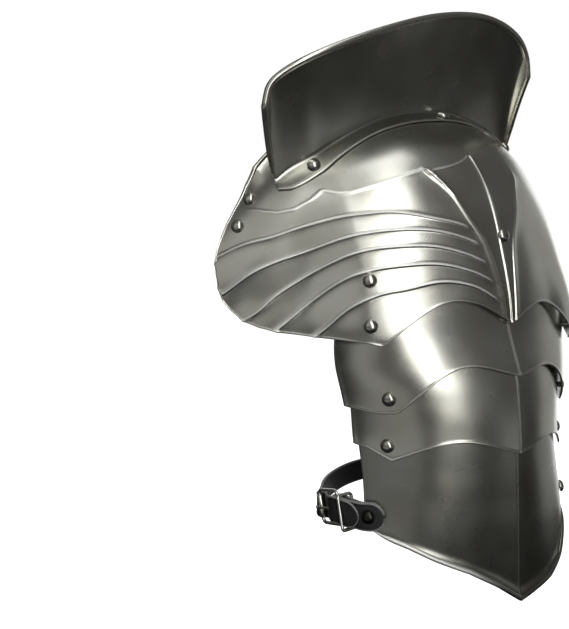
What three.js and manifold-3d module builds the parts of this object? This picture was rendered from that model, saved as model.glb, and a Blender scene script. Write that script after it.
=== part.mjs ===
// Left shoulder defence of plate armour: a ridged shoulder cap with a front wing and a standing
// neck guard riveted on it, two lames and a lower plate hinged below one another, and a buckled
// leather arm strap. Millimetres. +X points out from the shoulder, -Y to the wearer's front and
// +Z up. The origin is the top of the shoulder, under the crown of the cap.
import * as THREE from "three";
import { mergeVertices } from "three/addons/utils/BufferGeometryUtils.js";
import Module from "manifold-3d";

const wasm = await Module();
wasm.setup();

// Driving dimensions
const reach = 130; // from the hub line under the shoulder out to the foot of the ridge
const spread = 170; // from the ridge round to the end of a wing
const sheet = 1.3; // wall of every steel plate
const play = 1.7; // clearance between a plate and the one that slides under it
const seatGap = 0.4; // clearance between parts that are riveted together
const rearDrop = 0.19; // how far the rear edges hang lower, for each millimetre behind the ridge
const keelHeight = 3; // rise of the sharp keel down the lames
const creaseHeight = 2.2; // rise of a raised crease on the cap
const lipHeight = 6; // turn-up of the cap's edge beside the neck
const rimRadius = 2.2; // of the neck guard's rolled edge
const neckRim = 1.7; // of the cap's rolled edge under the guard
const footRim = 1.8; // of the arm plate's rolled edge
const flareOut = 3; // outward turn of the lower plate's rim
const rivetHead = 4.6; // radius of a rivet's dome
const rivetShank = 2; // radius of a rivet's shank
const hingeSlack = 0.7; // extra clearance in and under a hinged plate's hole
const strapWidth = 19;
const leather = 1.8; // thickness of one layer of leather
const wire = 1.3; // radius of the buckle's wire
const rollerWall = 0.7;
const buckleLength = 21; // from bar to bar
const strapSlack = 0.9; // clearance beside the strap in the buckle and the keeper
const tabOnPlate = 13; // length of the leather tab that lies on the plate
const keeperPlace = 8.5; // from the heel bar to the keeper
const tailLength = 12; // of the strap's end beyond the keeper

// Small tools for curves and points
const clamp = THREE.MathUtils.clamp;
const radians = THREE.MathUtils.degToRad;
const point = (x = 0, y = 0, z = 0) => new THREE.Vector3(x, y, z);

// A smooth curve through the values at uneven stations.
function smooth(stations, values, at) {
  const t = clamp(at, stations[0], stations.at(-1));
  let i = 0;
  while (i < stations.length - 2 && t > stations[i + 1]) i++;
  const slope = (k) => {
    const a = Math.max(k - 1, 0);
    const b = Math.min(k + 1, stations.length - 1);
    return (values[b] - values[a]) / (stations[b] - stations[a]);
  };
  const h = stations[i + 1] - stations[i];
  const s = (t - stations[i]) / h;
  return THREE.MathUtils.lerp(values[i], values[i + 1], s * s * (3 - 2 * s)) +
    h * s * (1 - s) * ((1 - s) * slope(i) - s * slope(i + 1));
}

// Straight lines through the values at uneven stations.
function straight(stations, values, at) {
  const t = clamp(at, stations[0], stations.at(-1));
  let i = 0;
  while (i < stations.length - 2 && t > stations[i + 1]) i++;
  return THREE.MathUtils.mapLinear(t, stations[i], stations[i + 1], values[i], values[i + 1]);
}

const column = (table, name) => table.map((row) => row[name]);

// Solids: closed triangle meshes, joined and cut by manifold-3d
function solid(points, triangles) {
  const geometry = new THREE.BufferGeometry().setFromPoints(points);
  geometry.setIndex(triangles);
  const merged = mergeVertices(geometry, 1e-4);
  const build = (triVerts) => new wasm.Manifold(new wasm.Mesh({
    numProp: 3,
    vertProperties: new Float32Array(merged.attributes.position.array),
    triVerts,
  }));
  const made = build(new Uint32Array(merged.index.array));
  if (made.volume() > 0) return made;
  return build(new Uint32Array(merged.index.array).reverse());
}

// Two matching grids of points, an outer and an inner face, closed round their edges.
function shell(outer, inner) {
  const rows = outer.length;
  const columns = outer[0].length;
  const triangles = [];
  const id = (layer, i, j) => (layer * rows + i) * columns + j;
  const quad = (a, b, c, d) => triangles.push(a, b, c, a, c, d);
  for (let i = 0; i < rows - 1; i++) {
    for (let j = 0; j < columns - 1; j++) {
      quad(id(0, i, j), id(0, i + 1, j), id(0, i + 1, j + 1), id(0, i, j + 1));
      quad(id(1, i, j), id(1, i, j + 1), id(1, i + 1, j + 1), id(1, i + 1, j));
    }
    quad(id(0, i, 0), id(1, i, 0), id(1, i + 1, 0), id(0, i + 1, 0));
    const end = columns - 1;
    quad(id(0, i + 1, end), id(1, i + 1, end), id(1, i, end), id(0, i, end));
  }
  for (let j = 0; j < columns - 1; j++) {
    quad(id(0, 0, j), id(0, 0, j + 1), id(1, 0, j + 1), id(1, 0, j));
    quad(id(0, rows - 1, j + 1), id(0, rows - 1, j), id(1, rows - 1, j), id(1, rows - 1, j + 1));
  }
  return solid([...outer.flat(), ...inner.flat()], triangles);
}

// A row of closed rings skinned over, with flat ends, or joined end to end.
function loft(rings, joined = false) {
  const count = rings[0].length;
  const points = rings.flat();
  const triangles = [];
  const last = joined ? rings.length : rings.length - 1;
  for (let i = 0; i < last; i++) {
    const next = ((i + 1) % rings.length) * count;
    for (let j = 0; j < count; j++) {
      const k = (j + 1) % count;
      triangles.push(i * count + j, next + j, next + k, i * count + j, next + k, i * count + k);
    }
  }
  if (!joined) {
    for (let j = 1; j < count - 1; j++) {
      const end = (rings.length - 1) * count;
      triangles.push(0, j, j + 1);
      triangles.push(end, end + j + 1, end + j);
    }
  }
  return solid(points, triangles);
}

// Directions along a path of points.
function tangents(path, joined) {
  return path.map((p, i) => {
    const a = joined ? path.at(i - 1) : path[Math.max(i - 1, 0)];
    const b = joined ? path[(i + 1) % path.length] : path[Math.min(i + 1, path.length - 1)];
    return b.clone().sub(a).normalize();
  });
}

// A round bar along a path.
function rod(path, radius, sides = 8, joined = false) {
  const along = tangents(path, joined);
  let side = point(0.3, 0.5, 0.81).cross(along[0]).normalize();
  return loft(path.map((p, i) => {
    side = side.clone().addScaledVector(along[i], -side.dot(along[i])).normalize();
    const up = along[i].clone().cross(side);
    return Array.from({ length: sides }, (_, k) => {
      const turn = (2 * Math.PI * k) / sides;
      return p.clone()
        .addScaledVector(side, radius * Math.cos(turn))
        .addScaledVector(up, radius * Math.sin(turn));
    });
  }), joined);
}

// A flat strap along a path; each row has its middle point, outward direction and width.
function strap(rows, thickness) {
  const along = tangents(rows.map((row) => row.at), false);
  return loft(rows.map((row, i) => {
    const across = along[i].clone().cross(row.out).normalize();
    const out = across.clone().cross(along[i]).normalize();
    const corners = [[-1, -1], [1, -1], [1, 1], [-1, 1]];
    return corners.map(([w, t]) => row.at.clone()
      .addScaledVector(across, (w * row.width) / 2)
      .addScaledVector(out, (t * thickness) / 2));
  }));
}

// The shoulder cap's skin, in polar form about a hub line that runs from front to rear.
// Each row is one section: its share of the spread, and its radii in shares of the reach.
const hub = { back: 0.46 * reach, drop: reach };
const hubAngles = [0, 25, 50, 75, 100];
const capSections = [
  { across: -1.012, radii: [0.223, 0.262, 0.338, 0.446, 0.57] },
  { across: -0.882, radii: [0.408, 0.4, 0.485, 0.608, 0.73] },
  { across: -0.688, radii: [0.585, 0.562, 0.654, 0.838, 0.938] },
  { across: -0.518, radii: [0.777, 0.75, 0.823, 0.954, 1.092] },
  { across: -0.265, radii: [0.92, 0.908, 0.992, 1.085, 1.19] },
  { across: 0, radii: [0.99, 0.97, 1.045, 1.12, 1.235] },
  { across: 0.245, radii: [0.92, 0.905, 0.982, 1.075, 1.18] },
  { across: 0.48, radii: [0.816, 0.75, 0.792, 0.922, 1.055] },
  { across: 0.574, radii: [0.54, 0.51, 0.555, 0.69, 0.83] },
  { across: 0.676, radii: [0.26, 0.25, 0.31, 0.45, 0.58] },
];

function capPoint(y, angle) {
  const at = y / spread;
  const radii = capSections.map((section) => smooth(hubAngles, section.radii, angle));
  const radius = reach * smooth(column(capSections, "across"), radii, at);
  const turn = radians(angle);
  return point(radius * Math.cos(turn) - hub.back, y, radius * Math.sin(turn) - hub.drop);
}

function capNormal(y, angle) {
  const alongY = capPoint(y + 0.5, angle).sub(capPoint(y - 0.5, angle));
  const up = capPoint(y, angle + 0.5).sub(capPoint(y, angle - 0.5));
  return alongY.cross(up).normalize();
}

// The cap's outline: hub angles of its edge beside the neck and of its foot.
const capOutline = [
  { across: -0.989, neck: 57, foot: 43 },
  { across: -0.975, neck: 64.5, foot: 30 },
  { across: -0.953, neck: 69, foot: 21 },
  { across: -0.918, neck: 74, foot: 10 },
  { across: -0.87, neck: 78, foot: 5 },
  { across: -0.812, neck: 82, foot: 2 },
  { across: -0.688, neck: 84.5, foot: 0 },
  { across: -0.532, neck: 92, foot: -1 },
  { across: -0.488, neck: 94, foot: -2 },
  { across: 0, neck: 98, foot: 4 },
  { across: 0.488, neck: 94, foot: -9 },
  { across: 0.545, neck: 89, foot: -5 },
  { across: 0.59, neck: 82, foot: 4 },
  { across: 0.625, neck: 73, foot: 18 },
  { across: 0.65, neck: 58, foot: 38 },
];
const notch = 0.488; // where the foot's scallops meet the wings
const scallopRise = 10.8; // of a scallop, in degrees about the hub

function rearTilt(y) {
  return (Math.max(y, 0) * rearDrop) / reach;
}

function footAngle(y) {
  const at = y / spread;
  const level = straight(column(capOutline, "across"), column(capOutline, "foot"), at);
  const share = clamp(Math.abs(at) / notch, 0, 1);
  return level + scallopRise * Math.sin(Math.PI * share ** 1.04);
}

function neckAngle(y) {
  return straight(column(capOutline, "across"), column(capOutline, "neck"), y / spread);
}

// Raised work on the front of the cap: five flutes that fan from the wing to the ridges, under a
// scalloped line. Each column holds hub angles at the shares of the spread in the first row.
const fluteStations = [0.06, 0.147, 0.265, 0.394, 0.494, 0.588, 0.688, 0.794, 0.882, 0.97];
const flutes = [
  { line: [54, 53, 53, 53, 56.5, 60, 60, 66, 76, 78], rise: 0.5 },
  { line: [30, 34, 38, 43, 46, 49, 52, 54, 57.5, 60.5], rise: 1 },
  { line: [26, 30, 34, 37, 39, 40.5, 41.5, 42, 40.5, 35], rise: 1 },
  { line: [21, 25, 29, 31.5, 33, 33, 30.5, 24, 13, 5], rise: 1 },
  { line: [16, 20, 23.5, 25, 25.5, 24, 17, 5, -6, -12], rise: 1 },
  { line: [11, 15.5, 18, 17, 16, 11.5, 0, -8, -16, -20], rise: 1 },
];
const fluteEnd = 0.09; // share of the spread where the flutes run out beside the ridges
const fluteFoot = 2.2; // degrees from a flute's crest down to its foot

function fluteAngle(flute, y) {
  return smooth(fluteStations, flute.line, Math.abs(y) / spread);
}

// The outer ridges close in on the middle one towards the foot: their distance from it by hub angle.
const ridgeAngles = [4, 12, 20, 28, 36, 45, 53, 62];
const ridgeShares = [0.022, 0.03, 0.045, 0.068, 0.118, 0.168, 0.224, 0.25];

function ridgeAcross(angle) {
  return spread * smooth(ridgeAngles, ridgeShares, angle);
}

// Columns of the cap's grid: inside the ridges they follow the fan, outside they keep their place.
const fanColumns = [0, 0.5, 1];
const frontColumns = [
  0.27, 0.33, 0.39, 0.44, 0.488, 0.54, 0.6, 0.66, 0.73, 0.79, 0.84, 0.885, 0.92, 0.95, 0.972, 0.988,
];
const rearColumns = [0.27, 0.35, 0.42, 0.488, 0.525, 0.56, 0.59, 0.62, 0.648];

function columnAcross(step, angle) {
  const outer = step < 0 ? frontColumns : rearColumns;
  const side = Math.sign(step);
  const count = Math.abs(step);
  const fan = ridgeAcross(angle);
  const first = outer[0] * spread;
  if (count < fanColumns.length) return side * fan * fanColumns[count];
  if (count === fanColumns.length) return side * Math.min(fan + 2 * creaseHeight, (2 * fan + first) / 3);
  if (count === fanColumns.length + 1) return side * (fan + first) / 2;
  return side * spread * outer[count - fanColumns.length - 2];
}

// Rows of the grid from the neck edge to the foot, each flute with a crest row and a foot row.
function rowAngles(y) {
  const neck = neckAngle(y);
  const foot = footAngle(y);
  const rows = [neck, neck - 3, neck - 8];
  for (const flute of flutes) rows.push(fluteAngle(flute, y), fluteAngle(flute, y) - fluteFoot);
  rows.push(foot);
  const top = Math.max(neck - 8, foot);
  const spare = [84, 70].map((angle) => Math.min(angle, top));
  rows.splice(3, 0, ...spare);
  const least = (neck - foot) / (rows.length * 6);
  for (let i = 1; i < rows.length; i++) rows[i] = Math.min(rows[i], rows[i - 1] - least);
  rows[rows.length - 1] = foot;
  for (let i = rows.length - 2; i > 0; i--) rows[i] = Math.max(rows[i], rows[i + 1] + least);
  return rows;
}

const fluteRow = 5; // the row of the first flute's crest

function capRelief(row, step, y, angle, edge) {
  let rise = 0;
  const crest = row >= fluteRow && (row - fluteRow) % 2 === 0;
  const flute = flutes[Math.floor((row - fluteRow) / 2)];
  const across = Math.abs(y) / spread;
  if (y < 0 && flute && crest) {
    const onLine = clamp(1 - Math.abs(angle - fluteAngle(flute, y)) / fluteFoot, 0, 1);
    const runOut = clamp((across - fluteEnd) / 0.06, 0, 1) * clamp((1 - across) * 30, 0, 1);
    rise += creaseHeight * flute.rise * onLine * runOut;
  }
  const onRidge = step === 0 || Math.abs(step) === fanColumns.length - 1;
  if (onRidge && angle < 58) rise += creaseHeight * clamp((58 - angle) / 8, 0, 1);
  const lip = clamp(1 - (edge - angle) / 8, 0, 1) * clamp((0.86 - across) / 0.1, 0, 1);
  return rise + lipHeight * lip ** 2;
}

function shoulderCap() {
  const outer = [];
  const inner = [];
  const inset = fanColumns.length + 1;
  for (let step = -inset - frontColumns.length; step <= inset + rearColumns.length; step++) {
    const line = [];
    const lining = [];
    const rowCount = rowAngles(0).length;
    for (let row = 0; row < rowCount; row++) {
      let y = columnAcross(step, 40);
      let angle = 40;
      for (let pass = 0; pass < 5; pass++) {
        angle = rowAngles(y)[row];
        y = columnAcross(step, angle);
      }
      const normal = capNormal(y, angle);
      const relief = capRelief(row, step, y, angle, neckAngle(y));
      const skin = capPoint(y, angle).addScaledVector(normal, relief);
      line.push(skin);
      lining.push(skin.clone().addScaledVector(normal, -sheet));
    }
    outer.push(line);
    inner.push(lining);
  }
  const neckLine = outer.map((line, i) => line[0].clone().lerp(inner[i][0], 0.5)).slice(4, -6);
  return shell(outer, inner).add(rod(neckLine, neckRim, 6));
}

// The arm plates' skins. Each row is one level section: its height and the ridge's distance out in
// shares of the reach, the ridge to the side edge in shares of the spread, how far back that edge
// falls in shares of the reach, and how much of a half-ellipse the section is. Behind the ridge a
// plate is narrower by its rearWidth. Each plate also lies one sheet and one clearance further in
// than the plate above it. Edges are read by share of the spread; between the ridge and the cusp
// beside the rivet the foot is scalloped.
const upperLame = {
  level: 1,
  rearWidth: 0.957,
  sections: [
    { height: -0.69, ridge: 0.446, edge: 0.615, fall: 0.33, round: 0.66 },
    { height: -0.94, ridge: 0.501, edge: 0.615, fall: 0.3, round: 0.62 },
    { height: -1.04, ridge: 0.543, edge: 0.612, fall: 0.37, round: 0.75 },
    { height: -1.17, ridge: 0.606, edge: 0.597, fall: 0.45, round: 0.87 },
    { height: -1.31, ridge: 0.648, edge: 0.575, fall: 0.477, round: 0.905 },
    { height: -1.42, ridge: 0.668, edge: 0.562, fall: 0.474, round: 0.905 },
  ],
  topStations: [0, 0.3, 0.44, 0.53, 0.64],
  top: [-0.69, -0.705, -0.8, -0.85, -0.87],
  rearTop: [-0.69, -0.705, -0.8, -1, -1.07],
  footStations: [0, 0.44, 0.49, 0.64],
  foot: [-1.18, -1.365, -1.38, -1.38],
  rearFoot: [-1.18, -1.365, -1.38, -1.38],
  cusp: 0.44,
  rise: 0.145,
  rows: 7,
};
const lowerLame = {
  level: 2,
  rearWidth: 0.965,
  sections: [
    { height: -1.03, ridge: 0.543, edge: 0.57, fall: 0.33, round: 0.73 },
    { height: -1.17, ridge: 0.604, edge: 0.56, fall: 0.4, round: 0.82 },
    { height: -1.31, ridge: 0.638, edge: 0.548, fall: 0.42, round: 0.85 },
    { height: -1.58, ridge: 0.684, edge: 0.53, fall: 0.454, round: 0.918 },
    { height: -1.75, ridge: 0.702, edge: 0.54, fall: 0.4, round: 0.88 },
  ],
  topStations: [0, 0.3, 0.44, 0.6],
  top: [-1.035, -1.05, -1.19, -1.22],
  rearTop: [-1.035, -1.05, -1.19, -1.22],
  footStations: [0, 0.445, 0.5, 0.6],
  foot: [-1.577, -1.63, -1.59, -1.585],
  rearFoot: [-1.577, -1.63, -1.59, -1.585],
  cusp: 0.445,
  rise: 0.1,
  rows: 6,
};
const lowerPlate = {
  level: 3,
  rearWidth: 0.97,
  sections: [
    { height: -1.45, ridge: 0.661, edge: 0.508, fall: 0.41, round: 0.87 },
    { height: -1.58, ridge: 0.681, edge: 0.51, fall: 0.42, round: 0.88 },
    { height: -1.77, ridge: 0.707, edge: 0.513, fall: 0.385, round: 0.855 },
    { height: -2.02, ridge: 0.741, edge: 0.53, fall: 0.347, round: 0.804 },
    { height: -2.38, ridge: 0.784, edge: 0.541, fall: 0.311, round: 0.736 },
  ],
  topStations: [0, 0.3, 0.44, 0.6],
  top: [-1.455, -1.42, -1.46, -1.47],
  rearTop: [-1.455, -1.42, -1.46, -1.47],
  footStations: [0, 0.1, 0.21, 0.324, 0.41, 0.488, 0.541],
  foot: [-2.36, -2.262, -2.178, -2.116, -2.063, -2.03, -1.99],
  rearFoot: [-2.36, -2.325, -2.295, -2.225, -2.125, -2.04, -1.98],
  cusp: 1,
  rise: 0,
  rows: 7,
};
const keelWidth = 0.29; // half-width of the keel, in shares of the spread

function armSection(form, name, z) {
  const depths = column(form.sections, "height").map((height) => -height);
  return smooth(depths, column(form.sections, name), -z / reach);
}

function armPoint(form, y, z) {
  const read = (name) => armSection(form, name, z);
  const round = read("round");
  const aside = y > 0 ? y / form.rearWidth : -y;
  const across = Math.min((aside / spread / read("edge")) * round, 0.999);
  const bend = (1 - Math.sqrt(1 - across * across)) / (1 - Math.sqrt(1 - round * round));
  const keel = keelHeight * clamp(1 - Math.abs(y) / (spread * keelWidth), 0, 1) ** 2;
  const inset = form.level * (sheet + play);
  return point(reach * (read("ridge") - read("fall") * bend) + keel - inset, y, z);
}

function armNormal(form, y, z) {
  const alongY = armPoint(form, y + 0.5, z).sub(armPoint(form, y - 0.5, z));
  const up = armPoint(form, y, z + 0.5).sub(armPoint(form, y, z - 0.5));
  return alongY.cross(up).normalize();
}

function topHeight(form, y) {
  const level = straight(form.topStations, y > 0 ? form.rearTop : form.top, Math.abs(y) / spread);
  return reach * (level - rearTilt(y));
}

function footHeight(form, y) {
  const at = Math.abs(y) / spread;
  const level = straight(form.footStations, y > 0 ? form.rearFoot : form.foot, at);
  const arch = form.rise * Math.sin(Math.PI * clamp(at / form.cusp, 0, 1) ** 1.15);
  return reach * (level + arch - rearTilt(y));
}

// Columns of an arm plate's grid, shares of its half-width.
const armColumns = [0, 0.03, 0.12, 0.24, 0.37, 0.5, 0.62, 0.72, 0.79, 0.86, 0.93, 1];

// Outer and inner grid of an arm plate; the flare turns its foot out, most of all at the ridge.
function armGrid(form, flare = 0) {
  const outer = [];
  const inner = [];
  for (let step = 1 - armColumns.length; step < armColumns.length; step++) {
    const share = Math.sign(step) * armColumns[Math.abs(step)];
    const line = [];
    const lining = [];
    for (let row = 0; row <= form.rows; row++) {
      const width = share > 0 ? spread * form.rearWidth : spread;
      let y = share * width * form.sections[0].edge;
      let z = 0;
      for (let pass = 0; pass < 4; pass++) {
        z = THREE.MathUtils.lerp(topHeight(form, y), footHeight(form, y), row / form.rows);
        y = share * width * armSection(form, "edge", z);
      }
      const normal = armNormal(form, y, z);
      const turnOut = row === form.rows ? flare * (1 - share * share) : 0;
      const skin = armPoint(form, y, z).addScaledVector(normal, turnOut);
      line.push(skin);
      lining.push(skin.clone().addScaledVector(normal, -sheet));
    }
    outer.push(line);
    inner.push(lining);
  }
  return [outer, inner];
}

function rolledPlate(form) {
  const [outer, inner] = armGrid(form, flareOut);
  const foot = outer.map((line, i) => line.at(-1).clone().lerp(inner[i].at(-1), 0.5));
  return shell(outer, inner).add(rod(foot.slice(2, -2), footRim));
}

// Rivets: a domed head outside, a shank through the holes, and a smaller peened end inside.
const peen = { radius: 0.75 * rivetHead, height: 1.4 };
const dome = { brim: 0.4, height: 0.62 * rivetHead };

function rivet(seat, normal, grip) {
  const profile = [
    [0, -grip - peen.height],
    [0.8 * peen.radius, -grip - peen.height],
    [peen.radius, -grip],
    [rivetShank, -grip],
    [rivetShank, 0],
    [rivetHead, 0],
  ];
  for (const turn of [15, 50]) {
    const up = dome.brim + dome.height * Math.sin(radians(turn));
    profile.push([rivetHead * Math.cos(radians(turn)), up]);
  }
  profile.push([0, dome.brim + dome.height]);
  const lathe = new THREE.LatheGeometry(profile.map(([r, up]) => new THREE.Vector2(r, up)), 10);
  const turnTo = new THREE.Quaternion().setFromUnitVectors(point(0, 1, 0), normal);
  lathe.applyQuaternion(turnTo).translate(seat.x, seat.y, seat.z);
  return fromGeometry(lathe);
}

// A closed three.js geometry as a solid, without the empty triangles that a lathe has on its axis.
function fromGeometry(geometry) {
  geometry.deleteAttribute("normal");
  geometry.deleteAttribute("uv");
  const merged = mergeVertices(geometry, 1e-4);
  const corners = merged.index.array;
  const kept = [];
  for (let i = 0; i < corners.length; i += 3) {
    const [a, b, c] = corners.slice(i, i + 3);
    if (a !== b && b !== c && a !== c) kept.push(a, b, c);
  }
  const places = merged.getAttribute("position");
  const points = Array.from({ length: places.count }, (_, i) => (
    point().fromBufferAttribute(places, i)
  ));
  return solid(points, kept);
}

// A straight drill along a direction, to cut a hole or to probe the plates that a rivet clamps.
function drill(seat, normal, radius) {
  const ends = [-7, 7].map((along) => seat.clone().addScaledVector(normal, along));
  return rod(ends, radius, 8);
}

// Rivets the listed plates together at a point: drills them and sets a rivet of the right grip.
function fasten(name, seat, normal, plates, slack = []) {
  let high = -Infinity;
  let low = Infinity;
  for (const plate of plates) {
    const clamped = plate.body.intersect(drill(seat, normal, rivetHead));
    const { vertProperties: v } = clamped.getMesh();
    for (let i = 0; i < v.length; i += 3) {
      const along = point(v[i], v[i + 1], v[i + 2]).sub(seat).dot(normal);
      high = Math.max(high, along);
      low = Math.min(low, along);
    }
    const loose = slack.includes(plate) ? hingeSlack : 0;
    plate.body = plate.body.subtract(drill(seat, normal, rivetShank + seatGap + loose));
    low -= loose * 0.5;
  }
  const head = seat.clone().addScaledVector(normal, high + seatGap);
  place(name, rivet(head, normal, high - low + 2 * seatGap), bright);
}

// Where the rivets go: on the cap by distance across and hub angle, on arm plates by height.
const capRivets = [
  { name: "neck_rivet_upper", across: -0.824, angle: 76 },
  { name: "neck_rivet_lower", across: -0.888, angle: 68.5 },
  { name: "wing_rivet", across: -0.506, angle: 22 },
  { name: "ridge_rivet", across: 0.02, angle: 30 },
];
const guardRivets = [
  { name: "guard_rivet_front", across: -0.588, angle: 70 },
  { name: "guard_rivet_middle", across: 0.065, angle: 77.5 },
  { name: "guard_rivet_rear", across: 0.477, angle: 79.8 },
];
const hinges = [
  { name: "cap_hinge", front: -0.512, rear: 0.475, height: -0.935 },
  { name: "lame_hinge", front: -0.447, rear: 0.46, height: -1.3 },
  { name: "lower_hinge", front: -0.438, rear: 0.45, height: -1.56 },
];

// The neck guard: a flange that lies on the cap, folded up into a tall wall. The first table gives
// the flange's outer edge and the fold as hub angles; the second the wall's top as shares of the
// spread across, and of the reach out and up.
const guardFront = -0.73;
const guardRear = 0.52;
const guardFoot = [
  { across: -0.73, edge: 69.5, fold: 72.5 },
  { across: -0.68, edge: 66.5, fold: 73 },
  { across: -0.57, edge: 66.5, fold: 73.5 },
  { across: -0.48, edge: 69, fold: 75 },
  { across: -0.37, edge: 71, fold: 76 },
  { across: -0.18, edge: 72.8, fold: 78 },
  { across: 0.06, edge: 75, fold: 80 },
  { across: 0.22, edge: 76.5, fold: 81.5 },
  { across: 0.52, edge: 79, fold: 83 },
];
const guardTop = [
  { along: 0, across: -0.81, out: -0.115, up: 0.11 },
  { along: 0.03, across: -0.797, out: -0.1, up: 0.2 },
  { along: 0.08, across: -0.755, out: -0.077, up: 0.26 },
  { along: 0.17, across: -0.67, out: -0.031, up: 0.326 },
  { along: 0.3, across: -0.527, out: 0.003, up: 0.405 },
  { along: 0.45, across: -0.33, out: 0.004, up: 0.495 },
  { along: 0.6, across: -0.11, out: -0.018, up: 0.575 },
  { along: 0.74, across: 0.1, out: -0.045, up: 0.61 },
  { along: 0.84, across: 0.255, out: -0.073, up: 0.595 },
  { along: 0.92, across: 0.375, out: -0.093, up: 0.535 },
  { along: 0.97, across: 0.435, out: -0.105, up: 0.45 },
  { along: 1, across: 0.463, out: -0.115, up: 0.34 },
];
const guardRows = [-1, -0.5, 0, 0.08, 0.25, 0.5, 0.75, 1];
const guardHollow = 0.14; // how far the wall bows inwards between fold and top

function guardPoint(along, rise) {
  const across = THREE.MathUtils.lerp(guardFront, guardRear, along);
  const stations = column(guardFoot, "across");
  const fold = smooth(stations, column(guardFoot, "fold"), across);
  const edge = smooth(stations, column(guardFoot, "edge"), across);
  const onCap = (angle) => capPoint(across * spread, angle)
    .addScaledVector(capNormal(across * spread, angle), seatGap + sheet);
  if (rise <= 0) return onCap(THREE.MathUtils.lerp(fold, edge, -rise));
  const read = (name) => smooth(column(guardTop, "along"), column(guardTop, name), along);
  const top = point(read("out") * reach, read("across") * spread, read("up") * reach);
  const foot = onCap(fold);
  const made = foot.clone().lerp(top, rise);
  made.x -= guardHollow * foot.distanceTo(top) * rise * (1 - rise);
  return made;
}

function guardNormal(along, rise) {
  const a = clamp(along, 0.005, 0.995);
  const onFlange = rise <= 0;
  const r = onFlange ? clamp(rise, -0.99, -0.01) : clamp(rise, 0.01, 0.99);
  const forward = guardPoint(a + 0.005, r).sub(guardPoint(a - 0.005, r));
  const up = guardPoint(a, r + 0.01).sub(guardPoint(a, r - 0.01));
  return forward.cross(up).normalize();
}

function neckGuard() {
  const outer = [];
  const inner = [];
  const stations = [0, 0.03, 0.08, 0.14, 0.21, 0.3, 0.4, 0.5, 0.6, 0.7, 0.79, 0.87, 0.93, 0.97, 1];
  for (const along of stations) {
    const line = guardRows.map((rise) => guardPoint(along, rise));
    const foldNormal = guardNormal(along, -0.01).add(guardNormal(along, 0.01)).normalize();
    const lining = guardRows.map((rise, i) => {
      if (rise !== 0) return line[i].clone().addScaledVector(guardNormal(along, rise), -sheet);
      const miter = foldNormal.dot(guardNormal(along, -0.01));
      return line[i].clone().addScaledVector(foldNormal, -sheet / Math.max(miter, 0.6));
    });
    outer.push(line);
    inner.push(lining);
  }
  const middle = (i, j) => outer[i][j].clone().lerp(inner[i][j], 0.5);
  const last = outer.length - 1;
  const top = guardRows.length - 1;
  const path = [];
  for (let j = 4; j < top; j++) path.push(middle(0, j));
  for (let i = 0; i <= last; i++) path.push(middle(i, top));
  for (let j = top - 1; j >= 4; j--) path.push(middle(last, j));
  return shell(outer, inner).add(rod(path, rimRadius, 8));
}

// The buckle's place: the middle of its heel bar, the way along the strap to its outer bar, the
// outward direction, and up along the bars.
const heel = point(0.154 * reach, -0.576 * spread, -1.97 * reach);
const toOuter = point(-0.913, -0.183, -0.365).normalize();
const outward = point(0, -1, 0).projectOnPlane(toOuter).normalize();
const upBar = outward.clone().cross(toOuter).normalize();
const halfWidth = strapWidth / 2 + strapSlack;
const roller = wire + seatGap + rollerWall; // outer radius
const foldRadius = wire + 2 * seatGap + leather / 2; // of the leather's middle round the heel bar

function buckleAt(along, out, up = 0) {
  return heel.clone()
    .addScaledVector(toOuter, along)
    .addScaledVector(outward, out)
    .addScaledVector(upBar, up);
}

// A closed loop of wire: a rectangle with rounded corners between two corner points.
function wireLoop(from, to, corner, locate) {
  const path = [];
  const corners = [[1, 1, 0], [0, 1, 90], [0, 0, 180], [1, 0, 270]];
  for (const [a, b, start] of corners) {
    for (const turn of [0, 45, 90]) {
      const angle = radians(start + turn);
      const x = (a ? to[0] - corner : from[0] + corner) + corner * Math.cos(angle);
      const y = (b ? to[1] - corner : from[1] + corner) + corner * Math.sin(angle);
      path.push(locate(x, y));
    }
  }
  return path;
}

function buckleFrame() {
  const side = halfWidth + wire;
  const path = wireLoop([0, -side], [buckleLength, side], 3, (x, y) => buckleAt(x, 0, y));
  return rod(path, wire, 8, true);
}

function buckleRoller() {
  const half = strapWidth / 2 - 1.5;
  const bore = wire + seatGap;
  const profile = [[bore, -half], [roller, -half], [roller, half], [bore, half], [bore, -half]];
  const lathe = new THREE.LatheGeometry(profile.map(([r, up]) => new THREE.Vector2(r, up)), 12);
  const turnTo = new THREE.Quaternion().setFromUnitVectors(point(0, 1, 0), upBar);
  const at = buckleAt(buckleLength, 0);
  lathe.applyQuaternion(turnTo).translate(at.x, at.y, at.z);
  return fromGeometry(lathe);
}

// The prong turns on the heel bar and rests on the roller.
const prongWire = 1;
const prongRing = wire + seatGap + prongWire;
const prongPath = [
  buckleAt(0, prongRing),
  buckleAt(0.35 * buckleLength, prongRing + 0.8 * wire),
  buckleAt(0.8 * buckleLength, roller + seatGap + 1.6 * prongWire),
  buckleAt(buckleLength + 0.5 * roller, roller + seatGap + prongWire),
  buckleAt(buckleLength + 1.3 * roller, roller),
];

function buckleProng() {
  const ring = Array.from({ length: 10 }, (_, i) => {
    const turn = radians(36 * i);
    return buckleAt(prongRing * Math.cos(turn), prongRing * Math.sin(turn));
  });
  return rod(ring, prongWire, 6, true).add(rod(prongPath, prongWire, 6));
}

// The leather tab's middle line, from its round end on the plate to the heel bar.
const tabHeights = { end: -1.925 * reach, edge: -1.95 * reach };
const foldGap = 0.3; // between the tab's two layers
const tabLift = seatGap + leather + foldGap / 2;

function onLowerPlate(y, z, lift) {
  return armPoint(lowerPlate, y, z).addScaledVector(armNormal(lowerPlate, y, z), lift);
}

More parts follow.
